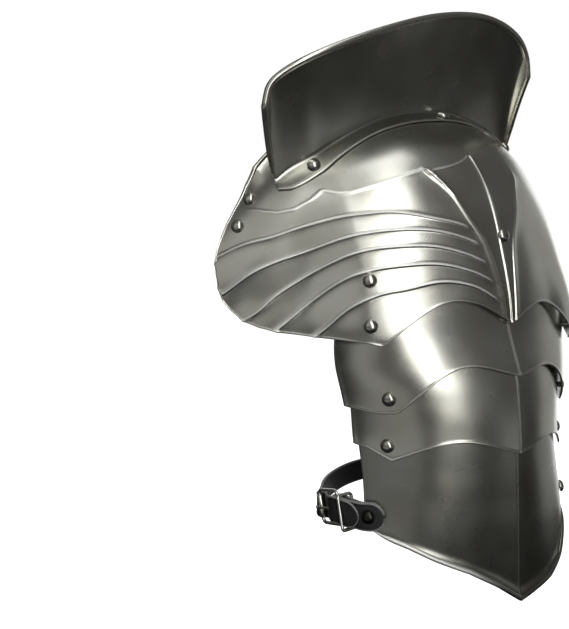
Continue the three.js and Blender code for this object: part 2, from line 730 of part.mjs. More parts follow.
const plateEdge = -spread * armSection(lowerPlate, "edge", tabHeights.edge);
const tabStart = plateEdge + 0.72 * tabOnPlate;
const tabLine = new THREE.CatmullRomCurve3([
  onLowerPlate(tabStart, tabHeights.end, tabLift),
  onLowerPlate((tabStart + plateEdge) / 2, (tabHeights.end + tabHeights.edge) / 2, tabLift),
  onLowerPlate(plateEdge, tabHeights.edge, tabLift),
  heel.clone(),
]);
const tabLength = tabLine.getLength();

// A point of the tab, by its distance from the heel bar, with the outward direction there.
function tabAt(distance) {
  const share = clamp(1 - distance / tabLength, 0, 1);
  const onPlate = armNormal(lowerPlate, plateEdge, tabHeights.edge);
  const out = onPlate.lerp(outward, clamp((share * tabLength) / tabOnPlate - 0.8, 0, 1)).normalize();
  const settled = clamp(distance / (tabLength - tabOnPlate), 0, 1);
  const apart = THREE.MathUtils.lerp(foldRadius, (leather + foldGap) / 2, settled);
  return { at: tabLine.getPointAt(share), out, apart };
}

// Rows of a round leather end: distances from it and the strap's width there.
const roundEnd = [0, 0.12, 0.3, 0.6, 1].map((share) => ({
  along: (share * strapWidth) / 2,
  width: strapWidth * Math.max(Math.sqrt(1 - (1 - share) ** 2), 0.25),
}));

function leatherTab() {
  const distances = roundEnd.map(({ along, width }) => ({ distance: tabLength - along, width }));
  for (const share of [0.6, 0.45, 0.3, 0.18, 0.08]) {
    distances.push({ distance: share * tabLength, width: strapWidth });
  }
  const layer = (side) => distances.map(({ distance, width }) => {
    const { at, out, apart } = tabAt(distance);
    return { at: at.addScaledVector(out, side * apart), out: out.clone().multiplyScalar(side), width };
  });
  const fold = [90, 50, 0, -50, -90].map((turn) => {
    const out = toOuter.clone().multiplyScalar(Math.cos(radians(turn)))
      .addScaledVector(outward, Math.sin(radians(turn)));
    return { at: heel.clone().addScaledVector(out, foldRadius), out, width: strapWidth };
  });
  const body = strap([...layer(1), ...fold, ...layer(-1).reverse()], leather);
  const slot = rod([buckleAt(-2 * prongRing, 0), buckleAt(2 * prongRing, 0)], 2 * prongRing, 12);
  const cheek = (side) => rod([
    buckleAt(0, 0, side * (prongWire + seatGap)),
    buckleAt(0, 0, side * strapWidth),
  ], 4 * prongRing, 12);
  return body.subtract(slot.subtract(cheek(1)).subtract(cheek(-1)));
}

// The strap: riveted inside the rear edge of the plate, round the inner side of the arm, behind
// the outer bar, up through the buckle, and over the tab under the keeper.
const strapHeight = -2.035 * reach;
const strapRivetY = 0.478 * spread;
const strapRoute = [
  { out: 0.245, across: 0.545, up: -2.05 },
  { out: 0.09, across: 0.565, up: -2.075 },
  { out: -0.09, across: 0.53, up: -2.1 },
  { out: -0.26, across: 0.42, up: -2.12 },
  { out: -0.38, across: 0.26, up: -2.13 },
  { out: -0.43, across: 0.07, up: -2.13 },
  { out: -0.43, across: -0.12, up: -2.12 },
  { out: -0.38, across: -0.29, up: -2.1 },
  { out: -0.28, across: -0.43, up: -2.08 },
  { out: -0.16, across: -0.525, up: -2.06 },
];

function strapRows() {
  const rows = [];
  const inside = -(sheet + seatGap + leather / 2);
  for (const across of [0.43, 0.437, 0.449, 0.468, 0.49, 0.515]) {
    const y = across * spread;
    const first = rows.length;
    const width = first < roundEnd.length ? roundEnd[first].width : strapWidth;
    const lift = inside - 0.1 * Math.max(y - strapRivetY, 0);
    const out = armNormal(lowerPlate, y, strapHeight);
    rows.push({ at: onLowerPlate(y, strapHeight, lift), out, width });
  }
  const middle = point(-0.15 * reach, 0, strapHeight);
  for (const { out, across, up } of strapRoute) {
    const at = point(out * reach, across * spread, up * reach);
    rows.push({ at, out: at.clone().sub(middle).setZ(0).normalize(), width: strapWidth });
  }
  const under = -(roller + seatGap + leather / 2);
  const over = foldRadius + leather + seatGap;
  const crossing = [
    [1.45, under - 0.2],
    [1.1, under],
    [0.92, under],
    [0.7, 0.3 * under],
    [0.45, 0.35 * over],
    [0.22, 0.85 * over],
    [0, over],
  ];
  for (const [along, out] of crossing) {
    rows.push({ at: buckleAt(along * buckleLength, out), out: outward, width: strapWidth });
  }
  const tail = keeperPlace + tailLength;
  const along = [0.25, 0.5].map((share) => ({ distance: share * tail, width: strapWidth }));
  roundEnd.toReversed().forEach((end) => along.push({ distance: tail - end.along, width: end.width }));
  for (const { distance, width } of along) {
    const { at, out, apart } = tabAt(distance);
    rows.push({ at: at.addScaledVector(out, apart + leather + seatGap), out, width });
  }
  return rows;
}

function armStrap() {
  return strap(strapRows(), leather).subtract(rod(prongPath, prongWire + seatGap, 6));
}

function strapKeeper() {
  const { at, out, apart } = tabAt(keeperPlace);
  const side = halfWidth + wire;
  const inner = -(apart + leather / 2 + seatGap + wire);
  const outer = apart + 1.5 * leather + 2 * seatGap + wire;
  const locate = (x, y) => at.clone().addScaledVector(out, x).addScaledVector(upBar, y);
  return rod(wireLoop([inner, -side], [outer, side], 2, locate), wire, 8, true);
}

// Materials, by their own colour and finish
const steel = new THREE.MeshStandardMaterial({ color: 0x5d5b58, roughness: 0.34, metalness: 1 });
const bright = new THREE.MeshStandardMaterial({ color: 0x8d8b86, roughness: 0.28, metalness: 1 });
const nickel = new THREE.MeshStandardMaterial({ color: 0xc9c8c4, roughness: 0.22, metalness: 1 });
const hide = new THREE.MeshStandardMaterial({ color: 0x1b1a19, roughness: 0.6, metalness: 0 });

const pauldron = new THREE.Group();

function place(name, body, material) {
  const made = body.getMesh();
  const geometry = new THREE.BufferGeometry();
  geometry.setAttribute("position", new THREE.BufferAttribute(new Float32Array(made.vertProperties), 3));
  geometry.setIndex(new THREE.BufferAttribute(new Uint32Array(made.triVerts), 1));
  const flat = geometry.toNonIndexed();
  flat.computeVertexNormals();
  const mesh = new THREE.Mesh(flat, material);
  mesh.name = name;
  pauldron.add(mesh);
}

// Put together from the top down
const cap = { body: shoulderCap() };
const guard = { body: neckGuard() };
const lameOne = { body: shell(...armGrid(upperLame)), form: upperLame };
const lameTwo = { body: shell(...armGrid(lowerLame)), form: lowerLame };
const lower = { body: rolledPlate(lowerPlate), form: lowerPlate };
const tab = { body: leatherTab() };
const band = { body: armStrap() };

for (const { name, across, angle } of capRivets) {
  fasten(name, capPoint(across * spread, angle), capNormal(across * spread, angle), [cap]);
}
for (const { name, across, angle } of guardRivets) {
  fasten(name, capPoint(across * spread, angle), capNormal(across * spread, angle), [cap, guard]);
}
const hinged = [[cap, lameOne], [lameOne, lameTwo], [lameTwo, lower]];
hinges.forEach((hinge, i) => {
  const [over, under] = hinged[i];
  for (const end of ["front", "rear"]) {
    const y = hinge[end] * spread;
    const z = reach * (hinge.height - rearTilt(y));
    const seat = armPoint(under.form, y, z);
    fasten(`${hinge.name}_${end}`, seat, armNormal(under.form, y, z), [over, under], [under]);
  }
});

const tabMiddle = tabStart - 0.36 * strapWidth;
const tabRivetHeight = THREE.MathUtils.lerp(tabHeights.end, tabHeights.edge, 0.6);
fasten(
  "tab_rivet",
  onLowerPlate(tabMiddle, tabRivetHeight, 0),
  armNormal(lowerPlate, tabMiddle, tabRivetHeight),
  [tab, lower],
);
fasten(
  "strap_rivet",
  onLowerPlate(strapRivetY, strapHeight, 0),
  armNormal(lowerPlate, strapRivetY, strapHeight),
  [lower, band],
);

place("shoulder_cap", cap.body, steel);
place("neck_guard", guard.body, steel);
place("upper_lame", lameOne.body, steel);
place("lower_lame", lameTwo.body, steel);
place("arm_plate", lower.body, steel);
place("leather_tab", tab.body, hide);
place("arm_strap", band.body, hide);
place("buckle_frame", buckleFrame(), nickel);
place("buckle_roller", buckleRoller(), nickel);
place("buckle_prong", buckleProng(), nickel);
place("strap_keeper", strapKeeper(), nickel);

export default pauldron;
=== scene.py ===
import math
import bmesh
import bpy
import numpy as np
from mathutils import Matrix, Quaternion, Vector


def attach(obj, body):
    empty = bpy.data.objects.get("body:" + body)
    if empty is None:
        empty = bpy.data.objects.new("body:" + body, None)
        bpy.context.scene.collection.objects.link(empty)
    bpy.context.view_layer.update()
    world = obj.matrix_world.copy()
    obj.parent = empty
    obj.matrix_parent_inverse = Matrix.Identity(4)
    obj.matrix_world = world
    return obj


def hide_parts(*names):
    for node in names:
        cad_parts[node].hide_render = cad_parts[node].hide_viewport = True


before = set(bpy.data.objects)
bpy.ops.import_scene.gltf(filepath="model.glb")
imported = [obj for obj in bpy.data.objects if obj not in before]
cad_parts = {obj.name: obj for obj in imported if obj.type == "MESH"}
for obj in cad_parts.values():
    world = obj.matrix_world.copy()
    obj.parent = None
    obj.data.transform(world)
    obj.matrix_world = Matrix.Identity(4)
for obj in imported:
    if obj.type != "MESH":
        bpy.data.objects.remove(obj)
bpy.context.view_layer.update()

# The shoulder cap: one sheet of mild steel, raised into a crown with a large front wing. Ridges and
# fans of flutes are chased into it, and the edge beside the neck is rolled over a wire. Sizes are
# in millimetres, and angles in degrees about a hub line from front to rear under the shoulder.
reach = 130.0
spread = 170.0
sheet = 1.3
hub = np.array([-0.46 * reach, 0, -reach])
hub_angles = [0, 25, 50, 75, 100]
cap_across = [-1.012, -0.882, -0.688, -0.518, -0.265, 0, 0.245, 0.48, 0.574, 0.676]
cap_radii = [
    [0.223, 0.262, 0.338, 0.446, 0.57],
    [0.408, 0.4, 0.485, 0.608, 0.73],
    [0.585, 0.562, 0.654, 0.838, 0.938],
    [0.777, 0.75, 0.823, 0.954, 1.092],
    [0.92, 0.908, 0.992, 1.085, 1.19],
    [0.99, 0.97, 1.045, 1.12, 1.235],
    [0.92, 0.905, 0.982, 1.075, 1.18],
    [0.816, 0.75, 0.792, 0.922, 1.055],
    [0.54, 0.51, 0.555, 0.69, 0.83],
    [0.26, 0.25, 0.31, 0.45, 0.58],
]
outline_across = [-0.989, -0.975, -0.953, -0.918, -0.87, -0.812, -0.688, -0.532, -0.488, 0,
                  0.488, 0.545, 0.59, 0.625, 0.65]
outline_neck = [57, 64.5, 69, 74, 78, 82, 84.5, 92, 94, 98, 94, 89, 82, 73, 58]
outline_foot = [43, 30, 21, 10, 5, 2, 0, -1, -2, 4, -9, -5, 4, 18, 38]
notch = 0.488
scallop_rise = 10.8
wing_end = 0.988
rear_end = 0.648
fan_side = 0.27
border_across = [0, 0.025, 0.06, 0.1, 0.15, 0.207, 0.229, 0.25, 0.29, 0.368, 0.459, 0.503, 0.544,
                 0.582, 0.595, 0.635, 0.696, 0.726, 0.756, 0.795, 0.839, 0.87]
border_angles = [57.3, 55.4, 54, 53.1, 52.5, 52.4, 53.5, 53, 53, 53.4, 54.4, 55.1, 56.9,
                 59.9, 60.4, 59.5, 59.7, 60.9, 62.3, 66, 71.8, 77]
flute_across = [0.06, 0.147, 0.265, 0.394, 0.494, 0.588, 0.688, 0.794, 0.882, 0.97]
flute_angles = [
    [30, 34, 38, 43, 46, 49, 52, 54, 57.5, 60.5],
    [26, 30, 34, 37, 39, 40.5, 41.5, 42, 40.5, 35],
    [21, 25, 29, 31.5, 33, 33, 30.5, 24, 13, 5],
    [16, 20, 23.5, 25, 25.5, 24, 17, 5, -6, -12],
    [11, 15.5, 18, 17, 16, 11.5, 0, -8, -16, -20],
]
ridge_angles = [4, 12, 20, 28, 36, 45, 53, 62]
ridge_across = [0.022, 0.03, 0.045, 0.068, 0.118, 0.168, 0.224, 0.25]
# Heights and half widths of the chased work, and the painted light of edges and inner faces: a
# painted highlight on edges and painted shade on inner faces.
flute_height = 0.95
flute_crest = 1.4
ridge_height = 0.75
ridge_crest = 0.7
swell_height = 0.5
swell_width = 4.0
line_height = 0.3
edge_width = 0.9
edge_painted_highlight = 0.5
inner_painted_shade = -0.25
lip_height = 6.0
lip_angle = 8
neck_rim = 1.7


def follow(stations, values, at):
    """A smooth curve through the values at uneven stations; a value may be an array."""
    stations = np.asarray(stations, float)
    at = np.clip(np.asarray(at, float), stations[0], stations[-1])
    i = np.clip(np.searchsorted(stations, at, side="right") - 1, 0, len(stations) - 2)
    table = np.stack([np.broadcast_to(value, at.shape) for value in values])

    def read(k):
        return np.take_along_axis(table, k[None], 0)[0]

    def slope(k):
        a = np.maximum(k - 1, 0)
        b = np.minimum(k + 1, len(stations) - 1)
        return (read(b) - read(a)) / (stations[b] - stations[a])

    h = stations[i + 1] - stations[i]
    s = (at - stations[i]) / h
    blend = s * s * (3 - 2 * s)
    bow = h * s * (1 - s) * ((1 - s) * slope(i) - s * slope(i + 1))
    return read(i) * (1 - blend) + read(i + 1) * blend + bow


def unit(v):
    return v / np.maximum(np.linalg.norm(v, axis=-1, keepdims=True), 1e-12)


def ease(low, high, at):
    s = np.clip((at - low) / (high - low), 0, 1)
    return s * s * (3 - 2 * s)


def hump(off, width):
    return np.exp(-(off / width) ** 2)


def cap_point(y, angle):
    y, angle = np.broadcast_arrays(y, angle)
    radii = [follow(hub_angles, row, angle) for row in cap_radii]
    radius = reach * follow(cap_across, radii, y / spread)
    turn = np.radians(angle)
    return np.stack([radius * np.cos(turn) + hub[0], y, radius * np.sin(turn) + hub[2]], -1)


def normal_of(surface, y, other):
    forward = surface(y + 0.5, other) - surface(y - 0.5, other)
    up = surface(y, other + 0.5) - surface(y, other - 0.5)
    return unit(np.cross(forward, up))


def cap_normal(y, angle):
    return normal_of(cap_point, y, angle)


def neck_angle(y):
    return np.interp(y / spread, outline_across, outline_neck)


def foot_angle(y):
    share = np.clip(np.abs(y) / spread / notch, 0, 1)
    level = np.interp(y / spread, outline_across, outline_foot)
    return level + scallop_rise * np.sin(np.pi * share ** 1.04)


def border_angle(y):
    return np.interp(np.abs(y) / spread, border_across, border_angles)


def flute_angle(line, y):
    return follow(flute_across, line, np.abs(y) / spread)


def ridge_place(angle):
    return spread * follow(ridge_angles, ridge_across, angle)


def spaced(count, power=1.0):
    """Steps from 0 to 1 that crowd towards both ends."""
    steps = np.linspace(0, 1, count + 1)[1:]
    return (1 - power) * steps + power * (1 - np.cos(np.pi * steps)) / 2


def cap_column(c, angle):
    """Across the cap at a column: -1 to 1 is the fan between the outer ridges."""
    fan = ridge_place(angle)
    count = np.abs(c)
    end = np.where(c < 0, wing_end, rear_end) * spread
    side = fan_side * spread
    inner = fan + (side - fan) * np.clip(count - 1, 0, 1)
    outer = side + (end - side) * np.clip(count - 2, 0, 1)
    return np.sign(c) * np.where(count <= 1, fan * count, np.where(count <= 2, inner, outer))


def cap_knots(y):
    """Hub angles of the rows that the grid keeps to: neck, border line, flutes and foot."""
    neck = neck_angle(y)
    foot = foot_angle(y)
    rows = [neck, border_angle(y)] + [flute_angle(line, y) for line in flute_angles] + [foot]
    least = (neck - foot) / (len(rows) * 6)
    for i in range(1, len(rows)):
        rows[i] = np.minimum(rows[i], rows[i - 1] - least)
    rows[-1] = foot
    for i in range(len(rows) - 2, 0, -1):
        rows[i] = np.maximum(rows[i], rows[i + 1] + least)
    return np.stack(rows)


def line_distance(angle_of, y, angle, per_degree):
    """Distance in millimetres square to a line on the cap, positive above it."""
    along = cap_point(y + 0.5, angle_of(y + 0.5)) - cap_point(y - 0.5, angle_of(y - 0.5))
    lean = np.linalg.norm(np.cross(unit(per_degree), unit(along)), axis=-1)
    return (angle - angle_of(y)) * np.linalg.norm(per_degree, axis=-1) * lean


def cap_relief(y, angle):
    """Height of the raised work and its painted light: a painted highlight above 0 on crests, lines
    and edges, and painted shade below 0 in roots.
    """
    level = np.linalg.norm(cap_point(y + 0.5, angle) - cap_point(y - 0.5, angle), axis=-1)
    per_degree = cap_point(y, angle + 0.5) - cap_point(y, angle - 0.5)
    arc = np.linalg.norm(per_degree, axis=-1)
    # The border line is a low bead with a painted highlight on it.
    border = ease(0, 2, -y) * (1 - ease(0.8, 0.86, -y / spread))
    bead = border * hump(line_distance(border_angle, y, angle, per_degree), edge_width)
    rise = line_height * bead
    painted_light = 0.75 * bead
    root_painted_shade = np.zeros_like(y)
    runs = ease(4.2, 5.8, np.abs(y) - ridge_place(angle)) * (y < 0)
    for line in flute_angles:
        # A round crest with a painted highlight on top, that falls away steeply into a root below,
        # painted dark as painted shade.
        off = line_distance(lambda at: flute_angle(line, at), y, angle, per_degree)
        below = np.minimum(off, 0)
        drop = 0.55 * hump(below, 0.7) + 0.45 * np.exp(below / 3)
        wave = np.where(off > 0, hump(off, flute_crest), drop)
        rise = np.maximum(rise, runs * flute_height * wave)
        painted_light = np.maximum(painted_light, runs * hump(off - 0.6, 1.0))
        under = off + 1.2
        beneath = np.where(under < 0, np.exp(under / 2.5), hump(under, 0.5))
        root_painted_shade = np.maximum(root_painted_shade, 0.5 * runs * beneath)
    slant = (ridge_place(angle + 0.5) - ridge_place(angle - 0.5)) / arc
    for side, top, soft in [(-1, 53.4, 0.8), (0, 57.2, 1.0), (1, 54.5, 6.0)]:
        # The front ridge opens into a pair of beads with a slit between them. The slit and the
        # lines beside the ridges are painted dark as painted shade.
        off = (y - side * ridge_place(angle)) * level / np.hypot(1, side * slant)
        starts = ease(0, soft, top - angle)
        split = 1.2 * ease(41, 52, angle) if side < 0 else 0.0
        bead = hump(np.abs(off) - split, ridge_crest)
        swell = hump(off, swell_width)
        rise = np.maximum(rise, starts * (ridge_height * bead + swell_height * swell))
        painted_light = np.maximum(painted_light, 0.1 * starts * bead)
        slit = hump(off, 0.5) * np.clip(split - 0.5, 0, 1)
        beside = hump(np.abs(off) - split - 1.5, 0.5)
        root_painted_shade = np.maximum(root_painted_shade, starts * np.maximum(0.4 * beside, slit))
    # The foot and neck edges are raised a little and get a painted highlight.
    to_neck = neck_angle(y) - angle
    edge = hump(np.minimum(angle - foot_angle(y), to_neck) * arc, edge_width)
    lip = np.clip(1 - to_neck / lip_angle, 0, 1)
    lip = lip * np.clip((0.86 - np.abs(y) / spread) / 0.1, 0, 1)
    rise = rise + line_height * edge + lip_height * lip ** 2
    return rise, np.maximum(painted_light, edge_painted_highlight * edge) - np.clip(root_painted_shade, 0, 1) * (1 - painted_light)


def closed_sheet(outer, inner, painted_light):
    """Points, faces and painted light of a sheet between two grids, with a rounded edge all round:
    painted shade on the inner face and a painted highlight on the edge.
    """
    rows, columns = outer.shape[:2]
    count = rows * columns
    index = np.arange(count).reshape(rows, columns)
    front = np.stack([index[:-1, :-1], index[1:, :-1], index[1:, 1:], index[:-1, 1:]], -1)
    faces = [front.reshape(-1, 4), front.reshape(-1, 4)[:, ::-1] + count]
    ring = np.concatenate([index[0, :], index[1:, -1], index[-1, -2::-1], index[-2:0:-1, 0]])
    flat_outer, flat_inner = outer.reshape(-1, 3), inner.reshape(-1, 3)
    lean = np.zeros_like(outer)
    for last, before in [(0, 1), (-1, -2)]:
        lean[last] += unit(outer[last] - outer[before])
        lean[:, last] += unit(outer[:, last] - outer[:, before])
    top, bottom = flat_outer[ring], flat_inner[ring]
    half = (top - bottom) / 2
    across = lean.reshape(-1, 3)[ring]
    thick = unit(half)
    across = unit(across - (across * thick).sum(-1, keepdims=True) * thick)
    reach_out = np.linalg.norm(half, axis=-1, keepdims=True)
    points = [flat_outer, flat_inner]
    glow = [painted_light.ravel(), np.full(count, inner_painted_shade)]
    loops = [ring]
    start = 2 * count
    for turn in np.radians([45, 90, 135]):
        bulge = half * math.cos(turn) + across * reach_out * math.sin(turn)
        points.append((top + bottom) / 2 + bulge)
        glow.append(np.full(len(ring), edge_painted_highlight))
        loops.append(np.arange(start, start + len(ring)))
        start += len(ring)
    loops.append(ring + count)
    for over, under in zip(loops[:-1], loops[1:]):
        faces.append(np.stack([over, np.roll(over, -1), np.roll(under, -1), under], -1))
    return np.concatenate(points), np.concatenate(faces).tolist(), np.concatenate(glow)


def frames_along(path, joined):
    """The direction at each point of a path, and two directions square to it, without twist."""
    if joined:
        along = unit(np.roll(path, -1, 0) - np.roll(path, 1, 0))
    else:
        along = unit(np.gradient(path, axis=0))
    side = unit(np.cross([0.3, 0.5, 0.81], along[0]))
    sides = []
    for way in along:
        side = unit(side - side.dot(way) * way)
        sides.append(side)
    sides = np.array(sides)
    return along, sides, np.cross(along, sides)


def full_turn(count):
    return np.linspace(0, 2 * np.pi, count, endpoint=False)


def round_bar(path, radius, sides=16, joined=False, glow=0.3):
    """A bar of round section along a path, with domed ends; glow is its painted light."""
    path = np.asarray(path, float)
    along, side, up = frames_along(path, joined)
    radii = np.broadcast_to(radius, len(path)).astype(float)
    glow = np.broadcast_to(glow, len(path))
    turns = full_turn(sides)[:, None]
    circle = np.cos(turns) * side[:, None] + np.sin(turns) * up[:, None]
    rings = path[:, None] + circle * radii[:, None, None]
    dome = np.radians([75, 50, 25])

    def closed_end(end, way):
        return [path[end] + way * along[end] * radii[end] * math.sin(turn)
                + circle[end] * radii[end] * math.cos(turn) for turn in dome]

    if not joined:
        rings = np.concatenate([closed_end(0, -1), rings, closed_end(-1, 1)[::-1]])
        glow = np.pad(glow, len(dome), mode="edge")
    return skin_rings(rings, joined, glow)


def skin_rings(rings, joined, glow=1.0):
    """Points, faces and painted light of a row of equal rings skinned over."""
    rows, sides = rings.shape[:2]
    index = np.arange(rows * sides).reshape(rows, sides)
    if joined:
        index = np.concatenate([index, index[:1]])
    beside = np.roll(index, -1, 1)
    faces = np.stack([index[:-1], beside[:-1], beside[1:], index[1:]], -1).reshape(-1, 4).tolist()
    if not joined:
        faces += [index[0][::-1].tolist(), index[-1].tolist()]
    return rings.reshape(-1, 3), faces, np.repeat(np.broadcast_to(glow, rows), sides)


def put(name, data):
    made = bpy.data.objects.new(name, data)
    bpy.context.scene.collection.objects.link(made)
    return made


def new_object(name, parts):
    """An object in the scene, in metres, from parts of points, faces and painted light."""
    faces, start = [], 0
    for part_points, part_faces, _ in parts:
        faces += [[corner + start for corner in face] for face in part_faces]
        start += len(part_points)
    mesh = bpy.data.meshes.new(name)
    mesh.from_pydata((np.concatenate([part[0] for part in parts]) / 1000).tolist(), [], faces)
    painted_light = mesh.attributes.new("painted_light", "FLOAT", "POINT")
    painted_light.data.foreach_set("value", np.concatenate([part[2] for part in parts]).astype(np.float32))
    return put(name, mesh)


def make_piece(name, parts, material, body, node, sharp=55):
    """A piece that stands for a node, with its faces turned outward and sharp edges kept."""
    piece = new_object(name, parts)
    mesh = piece.data
    shaped = bmesh.new()
    shaped.from_mesh(mesh)
    bmesh.ops.recalc_face_normals(shaped, faces=shaped.faces)
    shaped.to_mesh(mesh)
    shaped.free()
    mesh.shade_smooth()
    mesh.set_sharp_from_angle(angle=math.radians(sharp))
    mesh.materials.append(material)
    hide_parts(node)
    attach(piece, body)
    return piece


def linear(code):
    """An sRGB hex colour as linear red, green, blue and alpha."""
    parts = [int(code[i:i + 2], 16) / 255 for i in (0, 2, 4)]
    return [p / 12.92 if p <= 0.04045 else ((p + 0.055) / 1.055) ** 2.4 for p in parts] + [1.0]


def new_material(name):
    material = bpy.data.materials.new(name)
    material.use_nodes = True
    material.node_tree.nodes.clear()
    return material, material.node_tree


def add_node(tree, kind, inputs, **settings):
    """A node with its settings. Each socket named gets a value, an output or a node's output."""
    made = tree.nodes.new("ShaderNode" + kind)
    for name, value in settings.items():
        setattr(made, name, value)
    for socket, value in inputs.items():
        if isinstance(value, bpy.types.Node):
            value = next(output for output in value.outputs if output.enabled)
        if isinstance(value, bpy.types.NodeSocket):
            tree.links.new(value, made.inputs[socket])
        else:
            made.inputs[socket].default_value = value
    return made


# Mild steel plate, hammered up and then ground and polished by hand to a satin: a grey metal with
# a soft cloudy sheen, slightly brown where oil has dried, with a painted highlight on crests and
# edges and painted shade in the roots of the flutes. Sizes of its clouds, patches and hammer marks
# in millimetres.
cloud_size = 14
patch_size = 32
hammer_size = 22


def polished_steel(name, plain, brown, painted_highlight, painted_shade_colour, roughness):
    material, tree = new_material(name)
    place = add_node(tree, "TexCoord", {}).outputs["Object"]
    clouds = add_node(tree, "TexNoise", {
        "Vector": place, "Scale": 1000 / cloud_size, "Detail": 1.0, "Roughness": 0.4})
    patches = add_node(tree, "TexNoise", {
        "Vector": place, "Scale": 1000 / patch_size, "Detail": 1.0, "Roughness": 0.4})
    tint = add_node(tree, "MapRange", {"Value": patches, "From Min": 0.15, "From Max": 0.85})
    steel = add_node(tree, "Mix", {0: tint, 6: linear(plain), 7: linear(brown)}, data_type="RGBA")
    # The painted light mixes the colour towards the painted highlight colour on crests and edges,
    # and towards the painted shade colour in roots and on inner faces.
    painted_light = add_node(tree, "Attribute", {}, attribute_name="painted_light").outputs["Fac"]
    highlight_mask = add_node(tree, "MapRange", {
        "Value": painted_light, "From Min": 0.25, "From Max": 1.0, "To Max": 0.95})
    highlighted = add_node(tree, "Mix", {0: highlight_mask, 6: steel, 7: linear(painted_highlight)}, data_type="RGBA")
    shade_mask = add_node(tree, "MapRange", {
        "Value": painted_light, "From Min": -0.1, "From Max": -1.0, "To Max": 0.8})
    colour = add_node(tree, "Mix", {0: shade_mask, 6: highlighted, 7: linear(painted_shade_colour)}, data_type="RGBA")
    gloss = add_node(tree, "MapRange", {
        "Value": clouds, "To Min": roughness - 0.03, "To Max": roughness + 0.03})
    filed = add_node(tree, "Math", {0: highlight_mask, 1: 0.316, 2: gloss}, operation="MULTIPLY_ADD")
    hammering = add_node(tree, "TexNoise", {
        "Vector": place, "Scale": 1000 / hammer_size, "Detail": 0.0})
    marks = add_node(tree, "Bump", {"Height": hammering, "Strength": 1.0, "Distance": 0.0003})
    shader = add_node(tree, "BsdfPrincipled", {
        "Base Color": colour, "Metallic": 1.0, "Roughness": filed, "Normal": marks})
    add_node(tree, "OutputMaterial", {"Surface": shader})
    return material


# Its colours: plain, brown, the painted highlight and the painted shade.
plate_steel = polished_steel("polished_mild_steel", "cacbc5", "b4b2a6", "fcfcf8", "3a3a35", 0.26)

# The cap's grid keeps its columns to the ridges and its rows to the flutes.
columns = np.concatenate([
    -3 + np.linspace(0, 1, 111)[:-1],
    -2 + np.linspace(0, 1, 17)[:-1],
    [-1], -1 + spaced(16), spaced(16),
    1 + np.linspace(0, 1, 15)[1:],
    2 + np.linspace(0, 1, 57)[1:],
])
steps = [30, 22, 22, 22, 22, 22, 24]
row_keys = np.concatenate([[0.0]] + [k + spaced(n, 0.95) for k, n in enumerate(steps)])
column_grid, row_grid = np.meshgrid(columns, row_keys, indexing="ij")
y_grid = cap_column(column_grid, np.full_like(column_grid, 40.0))
lower = np.minimum(row_grid.astype(int), len(steps) - 1)
for _ in range(7):
    knots = cap_knots(y_grid)
    above = np.take_along_axis(knots, lower[None], 0)[0]
    below = np.take_along_axis(knots, lower[None] + 1, 0)[0]
    angle_grid = above + (below - above) * (row_grid - lower)
    y_grid = cap_column(column_grid, angle_grid)
rise, cap_painted_light = cap_relief(y_grid, angle_grid)
away = cap_normal(y_grid, angle_grid)
cap_outer = cap_point(y_grid, angle_grid) + away * rise[..., None]
cap_inner = cap_outer - away * sheet
rolled = (y_grid[:, 0] > -0.95 * spread) & (y_grid[:, 0] < 0.63 * spread)
neck_line = (cap_outer[:, 0] + cap_inner[:, 0])[rolled] / 2


def from_ends(line):
    """Steps along a line from its nearer end."""
    steps = np.arange(len(line))
    return np.minimum(steps, steps[::-1])


neck_size = neck_rim * (0.4 + 0.6 * ease(0, 24, from_ends(neck_line)))
neck_roll = round_bar(neck_line, neck_size, glow=0.0)
make_piece("shoulder_cap_plate", [closed_sheet(cap_outer, cap_inner, cap_painted_light), neck_roll],
           plate_steel, "shoulder", "shoulder_cap")


# The neck guard: a second sheet of the same steel that stands up beside the neck. Its foot is
# turned into a flange that lies on the cap under three rivets, its wall bows in a little, and its
# free edge is rolled round a wire.
seat_gap = 0.4
rim_radius = 2.2
guard_front = -0.73
guard_rear = 0.52
foot_across = [-0.73, -0.68, -0.57, -0.48, -0.37, -0.18, 0.06, 0.22, 0.52]
flange_edge = [69.5, 66.5, 66.5, 69, 71, 72.8, 75, 76.5, 79]
flange_fold = [72.5, 73, 73.5, 75, 76, 78, 80, 81.5, 83]
wall_along = [0, 0.03, 0.08, 0.17, 0.3, 0.45, 0.6, 0.74, 0.84, 0.92, 0.97, 1]
wall_top = np.array([
    [-0.115, -0.81, 0.11], [-0.1, -0.797, 0.2], [-0.077, -0.755, 0.26], [-0.031, -0.67, 0.326],
    [0.003, -0.527, 0.405], [0.004, -0.33, 0.495], [-0.018, -0.11, 0.575], [-0.045, 0.1, 0.61],
    [-0.073, 0.255, 0.595], [-0.093, 0.375, 0.535], [-0.105, 0.435, 0.45], [-0.115, 0.463, 0.34],
]) * [reach, spread, reach]
guard_hollow = 0.14
fold_size = 2.2
fold_lines = 8
flange_shares = [0, 0.04, 0.1, 0.2, 0.35, 0.5, 0.65, 0.8, 0.92]
# Painted light of the guard: a painted highlight along the flange's edge and painted shade over the
# flange and the fold.
flange_rim_highlight = [0.5, 0.3, 0.1]
flange_painted_shade = -0.55
fold_painted_shade = -0.4


def guard_point(along, rise):
    along, rise = np.broadcast_arrays(along, rise)
    across = guard_front + (guard_rear - guard_front) * along
    fold = follow(foot_across, flange_fold, across)
    edge = follow(foot_across, flange_edge, across)
    angle = fold + (edge - fold) * np.clip(-rise, 0, 1)
    y = across * spread
    on_cap = cap_point(y, angle) + cap_normal(y, angle) * (seat_gap + sheet)
    top = np.stack([follow(wall_along, wall_top[:, k], along) for k in range(3)], -1)
    up = np.clip(rise, 0, 1)[..., None]
    wall = on_cap + (top - on_cap) * up
    height = np.linalg.norm(top - on_cap, axis=-1)
    wall[..., 0] -= guard_hollow * height * (up * (1 - up))[..., 0]
    return np.where(rise[..., None] > 0, wall, on_cap)


